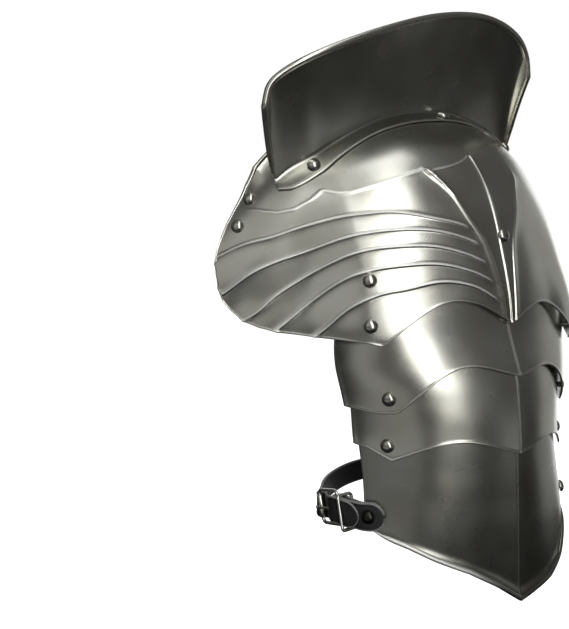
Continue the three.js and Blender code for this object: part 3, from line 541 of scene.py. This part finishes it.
guard_steps = np.concatenate([[0, 0.006, 0.014], np.linspace(0.025, 0.975, 110), [0.986, 0.994, 1]])
edge_at, fold_at, top_at = [guard_point(guard_steps, level) for level in (-1, 0, 1)]
flange_turn = -np.minimum(fold_size / np.linalg.norm(edge_at - fold_at, axis=-1), 0.5)
wall_turn = np.minimum(fold_size / np.linalg.norm(top_at - fold_at, axis=-1), 0.3)
lines = [guard_point(guard_steps, -1 + share * (1 + flange_turn)) for share in flange_shares]
bend_from = guard_point(guard_steps, flange_turn)
bend_to = guard_point(guard_steps, wall_turn)
for t in np.linspace(0, 1, fold_lines):
    lines.append(bend_from * (1 - t) ** 2 + fold_at * 2 * t * (1 - t) + bend_to * t ** 2)
for share in np.linspace(0, 1, 49)[1:]:
    lines.append(guard_point(guard_steps, wall_turn + share * (1 - wall_turn)))
guard_outer = np.stack(lines, 1)
guard_normal = unit(np.cross(np.gradient(guard_outer, axis=0), np.gradient(guard_outer, axis=1)))
guard_inner = guard_outer - guard_normal * sheet
wall_from = len(flange_shares) + fold_lines
guard_painted_light = np.zeros(guard_outer.shape[:2])
# Painted shade over the fold and the flange, and a painted highlight along the flange's edge.
guard_painted_light[:, :wall_from] = fold_painted_shade
guard_painted_light[:, :len(flange_shares)] = flange_painted_shade
guard_painted_light[:, :len(flange_rim_highlight)] = flange_rim_highlight
middle = (guard_outer + guard_inner) / 2
first_up = wall_from + 3
rim_path = np.concatenate([middle[0, first_up:-1], middle[:, -1], middle[-1, -2:first_up:-1]])
rim_size = rim_radius * np.interp(from_ends(rim_path), [0, 13], [0.55, 1])
guard_wall = closed_sheet(guard_outer, guard_inner, guard_painted_light)
make_piece("neck_guard_plate", [guard_wall, round_bar(rim_path, rim_size, 18)],
           plate_steel, "shoulder", "neck_guard")


# The two lames and the upper arm plate: bowed strips of the same steel with a sharp keel, each
# sliding under the plate above it. Their feet are cut in scallops, and the last plate's foot is
# flared and rolled over a wire.
play = 1.7
rear_drop = 0.19
keel_height = 3.0
keel_width = 0.29
crease_width = 0.8
foot_rim = 1.8
flare_out = 2.3
flare_part = 15
upper_lame = {
    "level": 1, "rear": 0.957, "cusp": 0.44, "arch": 0.145,
    "height": [0.69, 0.94, 1.04, 1.17, 1.31, 1.42],
    "ridge": [0.446, 0.501, 0.543, 0.606, 0.648, 0.668],
    "edge": [0.615, 0.615, 0.612, 0.597, 0.575, 0.562],
    "fall": [0.33, 0.3, 0.37, 0.45, 0.477, 0.474],
    "round": [0.66, 0.62, 0.75, 0.87, 0.905, 0.905],
    "top_across": [0, 0.3, 0.44, 0.53, 0.64],
    "top": [-0.69, -0.705, -0.8, -0.85, -0.87],
    "rear_top": [-0.69, -0.705, -0.8, -1, -1.07],
    "foot_across": [0, 0.44, 0.49, 0.64],
    "foot": [-1.18, -1.365, -1.38, -1.38],
}
lower_lame = {
    "level": 2, "rear": 0.965, "cusp": 0.445, "arch": 0.1,
    "height": [1.03, 1.17, 1.31, 1.58, 1.75],
    "ridge": [0.543, 0.604, 0.638, 0.684, 0.702],
    "edge": [0.57, 0.56, 0.548, 0.53, 0.54],
    "fall": [0.33, 0.4, 0.42, 0.454, 0.4],
    "round": [0.73, 0.82, 0.85, 0.918, 0.88],
    "top_across": [0, 0.3, 0.44, 0.6],
    "top": [-1.035, -1.05, -1.19, -1.22],
    "foot_across": [0, 0.445, 0.5, 0.6],
    "foot": [-1.577, -1.63, -1.59, -1.585],
}
arm_plate = {
    "level": 3, "rear": 0.97, "cusp": 1.0, "arch": 0.0,
    "height": [1.45, 1.58, 1.77, 2.02, 2.38],
    "ridge": [0.661, 0.681, 0.707, 0.741, 0.784],
    "edge": [0.508, 0.51, 0.513, 0.53, 0.541],
    "fall": [0.41, 0.42, 0.385, 0.347, 0.311],
    "round": [0.87, 0.88, 0.855, 0.804, 0.736],
    "top_across": [0, 0.3, 0.44, 0.6],
    "top": [-1.455, -1.42, -1.46, -1.47],
    "foot_across": [0, 0.1, 0.21, 0.324, 0.41, 0.488, 0.541],
    "foot": [-2.36, -2.262, -2.178, -2.116, -2.063, -2.03, -1.99],
    "rear_foot": [-2.36, -2.325, -2.295, -2.225, -2.125, -2.04, -1.98],
}


def section(form, name, z):
    return follow(form["height"], form[name], -np.asarray(z, float) / reach)


def arm_point(form, y, z):
    y, z = np.broadcast_arrays(y, z)
    bow = section(form, "round", z)
    aside = np.where(y > 0, y / form["rear"], -y)
    across = np.minimum(aside / spread / section(form, "edge", z) * bow, 0.999)
    bend = (1 - np.sqrt(1 - across ** 2)) / (1 - np.sqrt(1 - bow ** 2))
    keel = keel_height * np.clip(1 - np.abs(y) / (spread * keel_width), 0, 1) ** 2
    out = reach * (section(form, "ridge", z) - section(form, "fall", z) * bend)
    return np.stack([out + keel - form["level"] * (sheet + play), y, z], -1)


def arm_normal(form, y, z):
    return normal_of(lambda *at: arm_point(form, *at), y, z)


def rear_tilt(y):
    return np.maximum(y, 0) * rear_drop / reach


def plate_span(form, y):
    """Heights of a plate's top and foot, which may differ in front of the keel and behind it."""
    at = np.abs(y) / spread
    levels = []
    for name in ("top", "foot"):
        across, front = form[name + "_across"], form[name]
        rear = form.get("rear_" + name, front)
        levels.append(np.where(y > 0, np.interp(at, across, rear), np.interp(at, across, front)))
    arch = form["arch"] * np.sin(np.pi * np.clip(at / form["cusp"], 0, 1) ** 1.15)
    return reach * (levels[0] - rear_tilt(y)), reach * (levels[1] + arch - rear_tilt(y))


def arm_sheet(form, flare=0.0):
    """Outer and inner grid and painted light of a plate, closer at its keel and its edges, with a
    painted highlight on the edges and the keel.
    """
    half = np.concatenate([[0], 0.03 * spaced(8, 0.6), 0.03 + 0.94 * np.linspace(0, 1, 71)[1:],
                           [0.978, 0.986, 0.993, 1]])
    shares = np.concatenate([-half[::-1], half[1:]])
    down = np.concatenate([np.linspace(0, 0.97, 56), [0.978, 0.985, 0.992, 1]])
    share, low = np.meshgrid(shares, down, indexing="ij")
    width = np.where(share > 0, form["rear"], 1.0) * spread
    y = share * width * form["edge"][0]
    for _ in range(6):
        top, foot = plate_span(form, y)
        z = top + (foot - top) * low
        y = share * width * section(form, "edge", z)
    normal = arm_normal(form, y, z)
    top, foot = plate_span(form, y)
    length = np.abs(foot - top)
    to_foot = (1 - low) * length
    to_side = (1 - np.abs(share)) * width * section(form, "edge", z)
    turned = flare * (1 - share ** 2) * np.clip(1 - to_foot / length * flare_part, 0, 1) ** 2
    # The border and the keel crease get a painted highlight, and are raised a little.
    border = hump(np.minimum(to_foot, to_side), edge_width)
    crease = hump(y, crease_width)
    raised = 0.35 * border * (flare == 0) + 0.25 * crease
    outer = arm_point(form, y, z) + normal * (turned + raised)[..., None]
    return outer, outer - normal * sheet, np.maximum(edge_painted_highlight * border, 0.45 * crease)


for form, name in [(upper_lame, "upper_lame"), (lower_lame, "lower_lame")]:
    make_piece(name + "_strip", [closed_sheet(*arm_sheet(form))],
               plate_steel, name, name)

# The same steel painted a shade darker and browner as painted shade on the upper arm plate, so the
# lames stand out from it.
shaded_steel = polished_steel("shaded_mild_steel", "a1a29c", "8f8d82", "f4f4f0", "32322e", 0.28)

plate_outer, plate_inner, plate_painted_light = arm_sheet(arm_plate, flare_out)
foot_line = (plate_outer + plate_inner)[4:-4, -1] / 2
foot_size = foot_rim * (0.45 + 0.55 * ease(0, 9, from_ends(foot_line)))
# Painted light along the rolled foot: a painted highlight on its front part that fades out, and a
# little painted shade at its rear.
foot_painted_light = np.interp(np.linspace(0, 1, len(foot_line)), [0, 0.3, 0.46, 0.54], [1, 0.9, 0, -0.3])
foot_roll = round_bar(foot_line, foot_size, 18, glow=foot_painted_light)
make_piece("upper_arm_plate", [closed_sheet(plate_outer, plate_inner, plate_painted_light), foot_roll],
           shaded_steel, "arm_plate", "arm_plate")


# The rivets: turned from bright steel rod, set from outside and peened over inside, and a little
# smoother than the plates; their colour is painted a little darker than the plates' as painted
# shade. They hold the guard, the strap and its tab, and the lames swing on the pairs at their ends.
rivet_head = 4.6
rivet_shank = 2.0
dome_height = 0.62 * rivet_head
dome_brim = 0.4
peen_radius = 0.75 * rivet_head
peen_height = 1.4
hinge_play = 0.5
hinge_grip = 0.8

bright_rivet = polished_steel("bright_rivet_steel", "b6b6b0", "a9a89f", "e8e8e4", "3a3a36", 0.25)


def rivet(name, body, point, normal, stand, slack=0.0, metal=bright_rivet):
    """A rivet whose head stands off a point on a plate. It grips the plate and some slack."""
    grip = stand + sheet + slack
    profile = [(0.0, -grip - peen_height), (0.45 * peen_radius, -grip - 0.97 * peen_height)]
    for turn in np.radians([35, 12, 0]):
        profile.append((peen_radius * (0.25 + 0.75 * math.cos(turn)),
                        -grip - 0.25 - 1.1 * math.sin(turn)))
    profile += [(peen_radius, -grip), (rivet_shank, -grip), (rivet_shank, 0.0),
                (rivet_head - 0.12, 0.0)]
    for turn in np.radians(np.linspace(0, 90, 16)[:-1]):
        profile.append((rivet_head * math.cos(turn) ** 0.92,
                        0.6 * dome_brim + (dome_height + 0.15) * math.sin(turn)))
    profile.append((0.0, dome_brim + dome_height))
    side = unit(np.cross(normal, [0.2, 0.9, 0.3]))
    up = np.cross(normal, side)
    turns = full_turn(40)[:, None]
    circle = np.cos(turns) * side + np.sin(turns) * up
    seat = point + normal * stand
    rings = np.array([seat + normal * h + circle * max(r, 1e-4) for r, h in profile])
    make_piece("set_" + name, [skin_rings(rings, False, 0.2)], metal, body, name,
               50)


def stands_out(over, point):
    """How far a point stands out of the plate over it, or of the cap where none is given."""
    if over:
        return point[0] - arm_point(over, point[1], point[2])[0]
    from_hub = point - hub
    angle = np.degrees(np.arctan2(from_hub[2], from_hub[0]))
    skin = cap_point(point[1], angle) - hub
    return np.hypot(from_hub[0], from_hub[2]) - np.hypot(skin[0], skin[2])


def out_through(over, seat, normal):
    """Distance from the seat along the normal out to the skin of the plate over it."""
    low, high = -2.0, 9.0
    for _ in range(40):
        middle = (low + high) / 2
        if stands_out(over, seat + normal * middle) < 0:
            low = middle
        else:
            high = middle
    return low


on_ridge = float(cap_relief(np.array([0.02 * spread]), np.array([30]))[0][0])
on_guard = sheet + seat_gap
for name, across, angle, lift, slack in [
        ("neck_rivet_upper", -0.824, 76, 0, 0), ("neck_rivet_lower", -0.888, 68.5, 0, 0),
        ("wing_rivet", -0.506, 22, 0, 0), ("ridge_rivet", 0.02, 30, on_ridge, 0),
        ("guard_rivet_front", -0.588, 70, on_guard, seat_gap),
        ("guard_rivet_middle", 0.065, 77.5, on_guard, seat_gap),
        ("guard_rivet_rear", 0.477, 79.8, on_guard, seat_gap)]:
    y = across * spread
    rivet(name, "shoulder", cap_point(y, angle), cap_normal(y, angle), seat_gap + lift, slack)
for name, front, rear, height, over, form, body in [
        ("cap_hinge", -0.512, 0.475, -0.935, None, upper_lame, "shoulder"),
        ("lame_hinge", -0.447, 0.46, -1.3, upper_lame, lower_lame, "upper_lame"),
        ("lower_hinge", -0.438, 0.45, -1.56, lower_lame, arm_plate, "lower_lame")]:
    for end, across in [("front", front), ("rear", rear)]:
        y = across * spread
        z = reach * (height - float(rear_tilt(y)))
        point = arm_point(form, y, z)
        normal = arm_normal(form, y, z)
        stand = out_through(over, point, normal) + hinge_play
        rivet(f"{name}_{end}", body, point, normal, stand, hinge_grip)


# The leather: a tab folded round the buckle's heel bar and riveted to the plate, and the arm strap
# riveted inside the rear edge. Both are cut from black vegetable-tanned cowhide with rounded ends,
# creased along the edges and burnished. The strap lies in its buckled position.
strap_width = 19.0
leather = 1.8
wire = 1.3
roller_wall = 0.7
buckle_length = 21.0
strap_slack = 0.9
tab_on_plate = 13.0
keeper_place = 8.5
tail_length = 12.0
fold_gap = 0.3
roller = wire + seat_gap + roller_wall
fold_radius = wire + 2 * seat_gap + leather / 2
heel = np.array([0.154 * reach, -0.576 * spread, -1.97 * reach])
to_outer = unit(np.array([-0.913, -0.183, -0.365]))
outward = unit(np.array([0, -1, 0]) - np.dot([0, -1, 0], to_outer) * to_outer)
up_bar = np.cross(outward, to_outer)
tab_end = -1.925 * reach
tab_edge = -1.95 * reach
tab_lift = seat_gap + leather + fold_gap / 2
crease_place = 0.79
crease_spread = 0.05
crease_depth = 0.22


def buckle_at(along, out, up=0.0):
    return heel + to_outer * along + outward * out + up_bar * up


def on_plate(y, z, lift):
    return arm_point(arm_plate, y, z) + arm_normal(arm_plate, y, z) * lift


def walked(points):
    """Distance along a row of points to each of them."""
    return np.concatenate([[0], np.cumsum(np.linalg.norm(np.diff(points, axis=0), axis=1))])


def points_at(at, stations, points):
    return np.stack([np.interp(at, stations, points[:, k]) for k in range(3)], -1)


def spline(points, samples):
    """A smooth path through points, even in length, as a dense row of points."""
    points = np.asarray(points, float)
    padded = np.vstack([2 * points[0] - points[1], points, 2 * points[-1] - points[-2]])
    dense = []
    for k in range(len(points) - 1):
        p0, p1, p2, p3 = padded[k:k + 4]
        d0, d1, d2 = [math.sqrt(np.linalg.norm(b - a)) for a, b in ((p0, p1), (p1, p2), (p2, p3))]
        m1 = ((p1 - p0) / d0 - (p2 - p0) / (d0 + d1) + (p2 - p1) / d1) * d1
        m2 = ((p2 - p1) / d1 - (p3 - p1) / (d1 + d2) + (p3 - p2) / d2) * d1
        for t in np.linspace(0, 1, 50, endpoint=False):
            dense.append(p1 + m1 * t + (3 * (p2 - p1) - 2 * m1 - m2) * t ** 2
                         + (2 * (p1 - p2) + m1 + m2) * t ** 3)
    dense.append(points[-1])
    dense = np.array(dense)
    stations = walked(dense)
    return points_at(np.linspace(0, stations[-1], samples), stations, dense), stations[-1]


plate_edge = -spread * float(section(arm_plate, "edge", tab_edge))
tab_start = plate_edge + 0.72 * tab_on_plate
tab_line, tab_length = spline([
    on_plate(tab_start, tab_end, tab_lift),
    on_plate((tab_start + plate_edge) / 2, (tab_end + tab_edge) / 2, tab_lift),
    on_plate(plate_edge, tab_edge, tab_lift),
    heel,
], 401)


def tab_at(distance):
    """Middle of the tab, its outward direction and half the distance between its two layers."""
    share = np.clip(1 - distance / tab_length, 0, 1)
    at = points_at(share, np.linspace(0, 1, len(tab_line)), tab_line)
    turn = np.clip(share * tab_length / tab_on_plate - 0.8, 0, 1)
    face = arm_normal(arm_plate, plate_edge, tab_edge)
    settled = np.clip(distance / (tab_length - tab_on_plate), 0, 1)
    apart = fold_radius + ((leather + fold_gap) / 2 - fold_radius) * settled
    return at, unit(face + (outward - face) * turn), apart


def round_end():
    """Distances from a strap's rounded end and the widths there."""
    turns = np.linspace(0, np.pi / 2, 9)
    return [(strap_width / 2 * (1 - math.cos(turn)), strap_width * max(math.sin(turn), 0.12))
            for turn in turns]


def band(rows):
    """A leather band along rows of middle, outward direction and width, with a painted highlight on
    its rounded edges and painted shade along a creased line on each side."""
    path, outs, widths = [np.array(part) for part in zip(*rows)]
    along = unit(np.gradient(path, axis=0))
    across = unit(np.cross(along, unit(outs)))
    out = np.cross(across, along)
    flat = np.linspace(-0.9, 0.9, 19)
    edge = [(0.93 + 0.07 * math.cos(turn), math.sin(turn))
            for turn in np.radians([60, 30, 0, -30, -60])]
    sketch = [(w, 1.0) for w in flat] + edge + [(w, -1.0) for w in flat[::-1]]
    sketch += [(-w, t) for w, t in edge[::-1]]
    rings, glow = [], []
    for w, t in sketch:
        crease = hump(abs(w) - crease_place, crease_spread) if t == 1.0 else 0.0
        lift = leather / 2 * t * (1 - crease_depth * crease)
        rings.append(path + across * (w * widths / 2)[:, None] + out * lift)
        # Painted light of the leather: a painted highlight on the rounded edges and painted shade
        # along the creased lines.
        glow.append(np.full(len(rows), max((abs(w) - 0.84) / 0.12, 0) - 0.8 * crease))
    points, faces, _ = skin_rings(np.stack(rings, 1), False)
    return points, faces, np.stack(glow, 1).ravel()


def between(rows, count):
    """More rows of a band, on a smooth path through the ones given."""
    middles, outs, widths = [np.array(part) for part in zip(*rows)]
    path, _ = spline(middles, count)
    stations = walked(middles)
    at = np.linspace(0, stations[-1], count)
    return list(zip(path, unit(points_at(at, stations, outs)), np.interp(at, stations, widths)))


# Vegetable-tanned cowhide, dyed black and rubbed with wax: a soft low sheen over a fine grain,
# greyer at the edges as a painted highlight, darker along the creased lines as painted shade, and
# wrinkled across. Sizes of the grain cells and the wrinkles in millimetres.
grain_size = 0.9
wrinkle_size = 4
black_hide, tree = new_material("black_dyed_cowhide")
place = add_node(tree, "TexCoord", {}).outputs["Object"]
painted_light = add_node(tree, "Attribute", {}, attribute_name="painted_light").outputs["Fac"]
cells = add_node(tree, "TexVoronoi", {
    "Vector": place, "Scale": 1000 / grain_size}, feature="DISTANCE_TO_EDGE")
folds = add_node(tree, "TexNoise", {
    "Vector": place, "Scale": 1000 / wrinkle_size, "Detail": 6.0, "Roughness": 0.65})
dye = add_node(tree, "Mix", {0: folds, 6: linear("131414"), 7: linear("282a2a")}, data_type="RGBA")
# The edges are mixed towards light grey as a painted highlight and the creased lines towards black
# as painted shade.
painted_highlight = add_node(tree, "MapRange", {"Value": painted_light, "To Max": 0.8})
hide_colour = add_node(tree, "Mix", {0: painted_highlight, 6: dye, 7: linear("a3a4a1")}, data_type="RGBA")
crease_painted_shade = add_node(tree, "MapRange", {
    "Value": painted_light, "From Min": 0.0, "From Max": -0.8, "To Max": 0.85})
hide_dark = add_node(tree, "Mix", {
    0: crease_painted_shade, 6: hide_colour, 7: linear("090909")}, data_type="RGBA")
wax = add_node(tree, "MapRange", {
    "Value": folds, "From Min": 0.3, "From Max": 0.7, "To Min": 0.42, "To Max": 0.62})
grain = add_node(tree, "Bump", {"Height": cells, "Strength": 0.6, "Distance": 0.0002})
creasing = add_node(tree, "Bump", {
    "Height": folds, "Strength": 0.5, "Distance": 0.0005, "Normal": grain})
shader = add_node(tree, "BsdfPrincipled", {
    "Base Color": hide_dark, "Roughness": wax, "IOR": 1.5, "Normal": creasing})
add_node(tree, "OutputMaterial", {"Surface": shader})


def cut(piece, cutter_parts):
    """Cuts a closed shape out of a piece and bakes the result into its mesh."""
    cutter = new_object("punch", cutter_parts)
    change = piece.modifiers.new("cut", "BOOLEAN")
    change.object = cutter
    change.solver = "EXACT"
    graph = bpy.context.evaluated_depsgraph_get()
    baked = bpy.data.meshes.new_from_object(piece.evaluated_get(graph))
    piece.modifiers.clear()
    old = piece.data
    piece.data = baked
    bpy.data.meshes.remove(old)
    bpy.data.objects.remove(cutter)


layer_at = [(tab_length - d, width) for d, width in round_end()]
layer_at += [(d, strap_width) for d in np.linspace(layer_at[-1][0] - 1, 0.1 * tab_length, 16)]


def tab_layer(side):
    placed = [(*tab_at(distance), width) for distance, width in layer_at]
    return [(at + out * side * apart, out * side, width) for at, out, apart, width in placed]


fold_rows = []
for turn in np.radians(np.linspace(90, -90, 13)):
    out = to_outer * math.cos(turn) + outward * math.sin(turn)
    fold_rows.append((heel + out * fold_radius, out, strap_width))
tab_piece = make_piece("buckle_tab", [band(tab_layer(1) + fold_rows + tab_layer(-1)[::-1])],
                       black_hide, "arm_plate", "leather_tab", 60)
prong_wire = 1.0
prong_ring = wire + seat_gap + prong_wire
slot_side = prong_wire + seat_gap + 0.4
slot_points = [buckle_at(a, b, c) for a in (-1.9 * prong_ring, 2.2 * prong_ring)
               for b in (-2.4 * prong_ring, 2.4 * prong_ring) for c in (-slot_side, slot_side)]
slot_faces = [[0, 1, 3, 2], [4, 6, 7, 5], [0, 4, 5, 1], [2, 3, 7, 6], [0, 2, 6, 4], [1, 5, 7, 3]]
cut(tab_piece, [(np.array(slot_points), slot_faces, np.zeros(8))])

strap_height = -2.035 * reach
strap_start = 0.449
strap_rivet_y = 0.478 * spread
strap_route = np.array([
    (0.245, 0.545, -2.05), (0.09, 0.565, -2.075), (-0.09, 0.53, -2.1), (-0.26, 0.42, -2.12),
    (-0.38, 0.26, -2.13), (-0.43, 0.07, -2.13), (-0.43, -0.12, -2.12), (-0.38, -0.29, -2.1),
    (-0.28, -0.43, -2.08), (-0.16, -0.525, -2.06),
]) * [reach, spread, reach]


def inside_plate(y, width=strap_width):
    """A row of the strap on the plate's inner face, which it leaves behind its rivet."""
    lift = -(sheet + seat_gap + leather / 2) - 0.1 * max(y - strap_rivet_y, 0)
    return on_plate(y, strap_height, lift), arm_normal(arm_plate, y, strap_height), width


def on_tab(distance, width=strap_width):
    """A row of the strap's end, which lies on the tab."""
    at, out, apart = tab_at(distance)
    return at + out * (apart + leather + seat_gap), out, width


strap_rows = [inside_plate(across * spread) for across in (strap_start, 0.468, 0.49, 0.515)]
arm_middle = np.array([-0.15 * reach, 0, strap_height])
strap_rows += [(at, unit((at - arm_middle) * [1, 1, 0]), strap_width) for at in strap_route]
under = -(roller + seat_gap + leather / 2)
over = fold_radius + leather + seat_gap
for along, out in [(1.45, under - 0.2), (1.1, under), (0.92, under), (0.7, 0.3 * under),
                   (0.45, 0.35 * over), (0.22, 0.85 * over), (0, over)]:
    strap_rows.append((buckle_at(along * buckle_length, out), outward, strap_width))
tail = keeper_place + tail_length
strap_rows += [on_tab(distance) for distance in (0.25 * tail, 0.5 * tail, tail - strap_width / 2)]
head_y = strap_start * spread - strap_width / 2
head_rows = [inside_plate(head_y + d, width) for d, width in round_end()[:-1]]
end_rows = [on_tab(tail - d, width) for d, width in round_end()[-2::-1]]
strap_band = band(head_rows + between(strap_rows, 260) + end_rows)
strap_piece = make_piece("arm_strap_band", [strap_band], black_hide,
                         "arm_plate", "arm_strap", 60)


# The buckle: a rectangular frame bent from round steel wire, with a rolled tube on its outer bar,
# a prong looped round the heel bar and a keeper loop for the strap's end. All are nickel-plated
# and polished, which is paler and glossier than the steel.
nickel = polished_steel("nickel_plated_wire", "dededa", "d4d3cc", "f6f6f3", "4a4a45", 0.22)
frame_side = strap_width / 2 + strap_slack + wire


def wire_piece(name, node, *bars):
    make_piece(name, bars, nickel, "arm_plate", node, 40)


def rounded_loop(low, high, corner):
    """Points of a rectangle with round corners, counterclockwise."""
    path = []
    for a, b, start in [(1, 1, 0), (0, 1, 90), (0, 0, 180), (1, 0, 270)]:
        x = high[0] - corner if a else low[0] + corner
        y = high[1] - corner if b else low[1] + corner
        for turn in np.radians(start + np.linspace(0, 90, 7)):
            path.append((x + corner * math.cos(turn), y + corner * math.sin(turn)))
    return path


frame_path = [buckle_at(x, 0, y) for x, y in
              rounded_loop((0, -frame_side), (buckle_length, frame_side), 3)]
wire_piece("buckle_wire_frame", "buckle_frame", round_bar(frame_path, wire, 16, True, 0.1))

roller_half = strap_width / 2 - 1.5
roller_profile = [(wire + seat_gap, -roller_half), (roller - 0.25, -roller_half),
                  (roller, -roller_half + 0.3)]
roller_profile += [(r, -h) for r, h in roller_profile[::-1]]
roller_rings = np.array([[buckle_at(buckle_length + r * math.cos(turn), r * math.sin(turn), h)
                          for turn in full_turn(32)] for r, h in roller_profile])
wire_piece("buckle_roller_tube", "buckle_roller", skin_rings(roller_rings, True, 0.1))

prong_steps = 48
prong_route, _ = spline([
    buckle_at(0, prong_ring), buckle_at(0.35 * buckle_length, prong_ring + 0.8 * wire),
    buckle_at(0.8 * buckle_length, roller + seat_gap + 1.6 * prong_wire),
    buckle_at(buckle_length + 0.5 * roller, roller + seat_gap + prong_wire),
    buckle_at(buckle_length + 1.3 * roller, roller)], prong_steps)
ring_path = [buckle_at(prong_ring * math.cos(turn), prong_ring * math.sin(turn))
             for turn in full_turn(36)]
prong_size = prong_wire * np.interp(np.arange(prong_steps), [0, 34, 47], [1, 1, 0.62])
wire_piece("buckle_prong_wire", "buckle_prong", round_bar(ring_path, prong_wire, 14, True, 0.1),
           round_bar(prong_route, prong_size, 14, False, 0.1))
punch_route = np.vstack([prong_route, prong_route[-1] + (prong_route[-1] - prong_route[-2]) * 6])
cut(strap_piece, [round_bar(punch_route, prong_wire + seat_gap, 14, glow=0.0)])

keeper_at, keeper_out, keeper_apart = tab_at(keeper_place)
keeper_in = -(keeper_apart + leather / 2 + seat_gap + wire)
keeper_over = keeper_apart + 1.5 * leather + 2 * seat_gap + wire
keeper_path = [keeper_at + keeper_out * x + up_bar * y for x, y in
               rounded_loop((keeper_in, -frame_side), (keeper_over, frame_side), 2)]
wire_piece("strap_keeper_loop", "strap_keeper", round_bar(keeper_path, wire, 16, True, 0.1))

# The tab's rivet is painted almost black as painted shade, so it hardly shows against the tab.
shade_painted_rivet = polished_steel("shade_painted_rivet_steel", "3a3b3a", "353431", "6a6a66", "1c1c1a", 0.3)
tab_seat = [arm_plate, tab_start - 0.36 * strap_width, tab_end + (tab_edge - tab_end) * 0.6]
rivet("tab_rivet", "arm_plate", arm_point(*tab_seat), arm_normal(*tab_seat),
      2 * seat_gap + 2 * leather + fold_gap + 0.3, seat_gap, shade_painted_rivet)
strap_seat = [arm_plate, strap_rivet_y, strap_height]
rivet("strap_rivet", "arm_plate", arm_point(*strap_seat), arm_normal(*strap_seat),
      seat_gap + 0.2, seat_gap + leather + 0.4)


# The studio: a pale floor well below the piece, a tall bright soft light beside the camera, small
# ones above, broad dim ones in front and behind, and a dim room that the camera sees as white.
floor_paint, tree = new_material("matt_white_paint")
floor_place = add_node(tree, "TexCoord", {}).outputs["Object"]
speckle = add_node(tree, "TexNoise", {"Vector": floor_place, "Scale": 20.0})
white = add_node(tree, "Mix", {
    0: speckle, 6: linear("f4f4f3"), 7: linear("f7f7f6")}, data_type="RGBA")
shader = add_node(tree, "BsdfPrincipled", {
    "Base Color": white, "Roughness": 0.9, "Emission Color": linear("ffffff"),
    "Emission Strength": 1.0})
add_node(tree, "OutputMaterial", {"Surface": shader})
floor_mesh = bpy.data.meshes.new("studio_floor")
floor_mesh.from_pydata([(-9, -9, -1), (9, -9, -1), (9, 9, -1), (-9, 9, -1)], [], [(0, 1, 2, 3)])
floor_mesh.materials.append(floor_paint)
floor = put("studio_floor", floor_mesh)
floor.visible_glossy = False
floor.visible_diffuse = False

# The soft lights: azimuth and elevation from the middle of the piece, distance, width and height
# in metres, the radiance of the face, and a lean in degrees.
middle = Vector((0.02, -0.02, -0.1))
for name, azimuth, elevation, distance, wide, tall, glow, lean in [
        ("tall_soft_light", -20, 28, 1.7, 0.56, 2.3, 4.2, 12),
        ("upper_soft_light", -30, 66, 1.7, 0.3, 0.5, 3.0, 0),
        ("overhead_soft_light", -50, 87, 1.7, 0.7, 0.7, 1.8, 0),
        ("front_soft_light", -68, 30, 2.0, 1.4, 2.0, 0.42, 0),
        ("side_light", 92, -2, 1.8, 0.95, 1.7, 0.36, 0),
        ("backdrop_light", 138, -8, 1.8, 2.0, 1.6, 1.35, 0),
        ("low_front_light", -63, -18, 1.6, 1.5, 0.5, 0.36, 0),
        ("low_side_light", 34, -14, 1.8, 1.1, 0.36, 0.24, 0)]:
    lamp = bpy.data.lights.new(name, "AREA")
    lamp.shape = "RECTANGLE"
    lamp.size = wide
    lamp.size_y = tall
    lamp.energy = glow * math.pi * wide * tall
    a, e = math.radians(azimuth), math.radians(elevation)
    way = Vector((math.cos(e) * math.cos(a), math.cos(e) * math.sin(a), math.sin(e)))
    light = put(name, lamp)
    light.location = middle + way * distance
    turn = (-way).to_track_quat("-Z", "Y") @ Quaternion((0, 0, 1), math.radians(lean))
    light.rotation_euler = turn.to_euler()
    light.visible_camera = False

room = bpy.data.worlds.new("studio_room")
bpy.context.scene.world = room
room.use_nodes = True
tree = room.node_tree
tree.nodes.clear()
way = add_node(tree, "TexCoord", {}).outputs["Generated"]
parts = add_node(tree, "SeparateXYZ", {"Vector": way})
overhead = add_node(tree, "MapRange", {
    "Value": parts.outputs["Z"], "From Min": 0.3, "From Max": 1.0,
    "To Min": 0.0, "To Max": 0.04}, interpolation_type="SMOOTHSTEP")
below = add_node(tree, "MapRange", {
    "Value": parts.outputs["Z"], "From Min": -0.5, "From Max": 0.3,
    "To Min": 0.02, "To Max": 0.09}, interpolation_type="SMOOTHSTEP")
level = add_node(tree, "Math", {0: below, 1: overhead}, operation="ADD")
lit = add_node(tree, "Background", {"Color": linear("fffdf9"), "Strength": level})
seen = add_node(tree, "Background", {"Color": linear("ffffff"), "Strength": 1.0})
rays = add_node(tree, "LightPath", {})
both = add_node(tree, "MixShader", {0: rays, 1: lit, 2: seen})
add_node(tree, "OutputWorld", {"Surface": both})

# The camera of the photograph: a little in front of the piece and level with its crown, looking
# slightly down at it. Its focal length is the photograph's 620 pixels over a height of 629.
lens = bpy.data.cameras.new("camera")
lens.sensor_width = 36
lens.lens = 36 * 620 / 629
camera = put("camera", lens)
camera.location = (0.3621, -0.2978, -0.0240)
camera.rotation_euler = Vector((-0.885, 0.407, -0.228)).to_track_quat("-Z", "Y").to_euler()
bpy.context.scene.camera = camera
bpy.context.scene.view_settings.view_transform = "Standard"
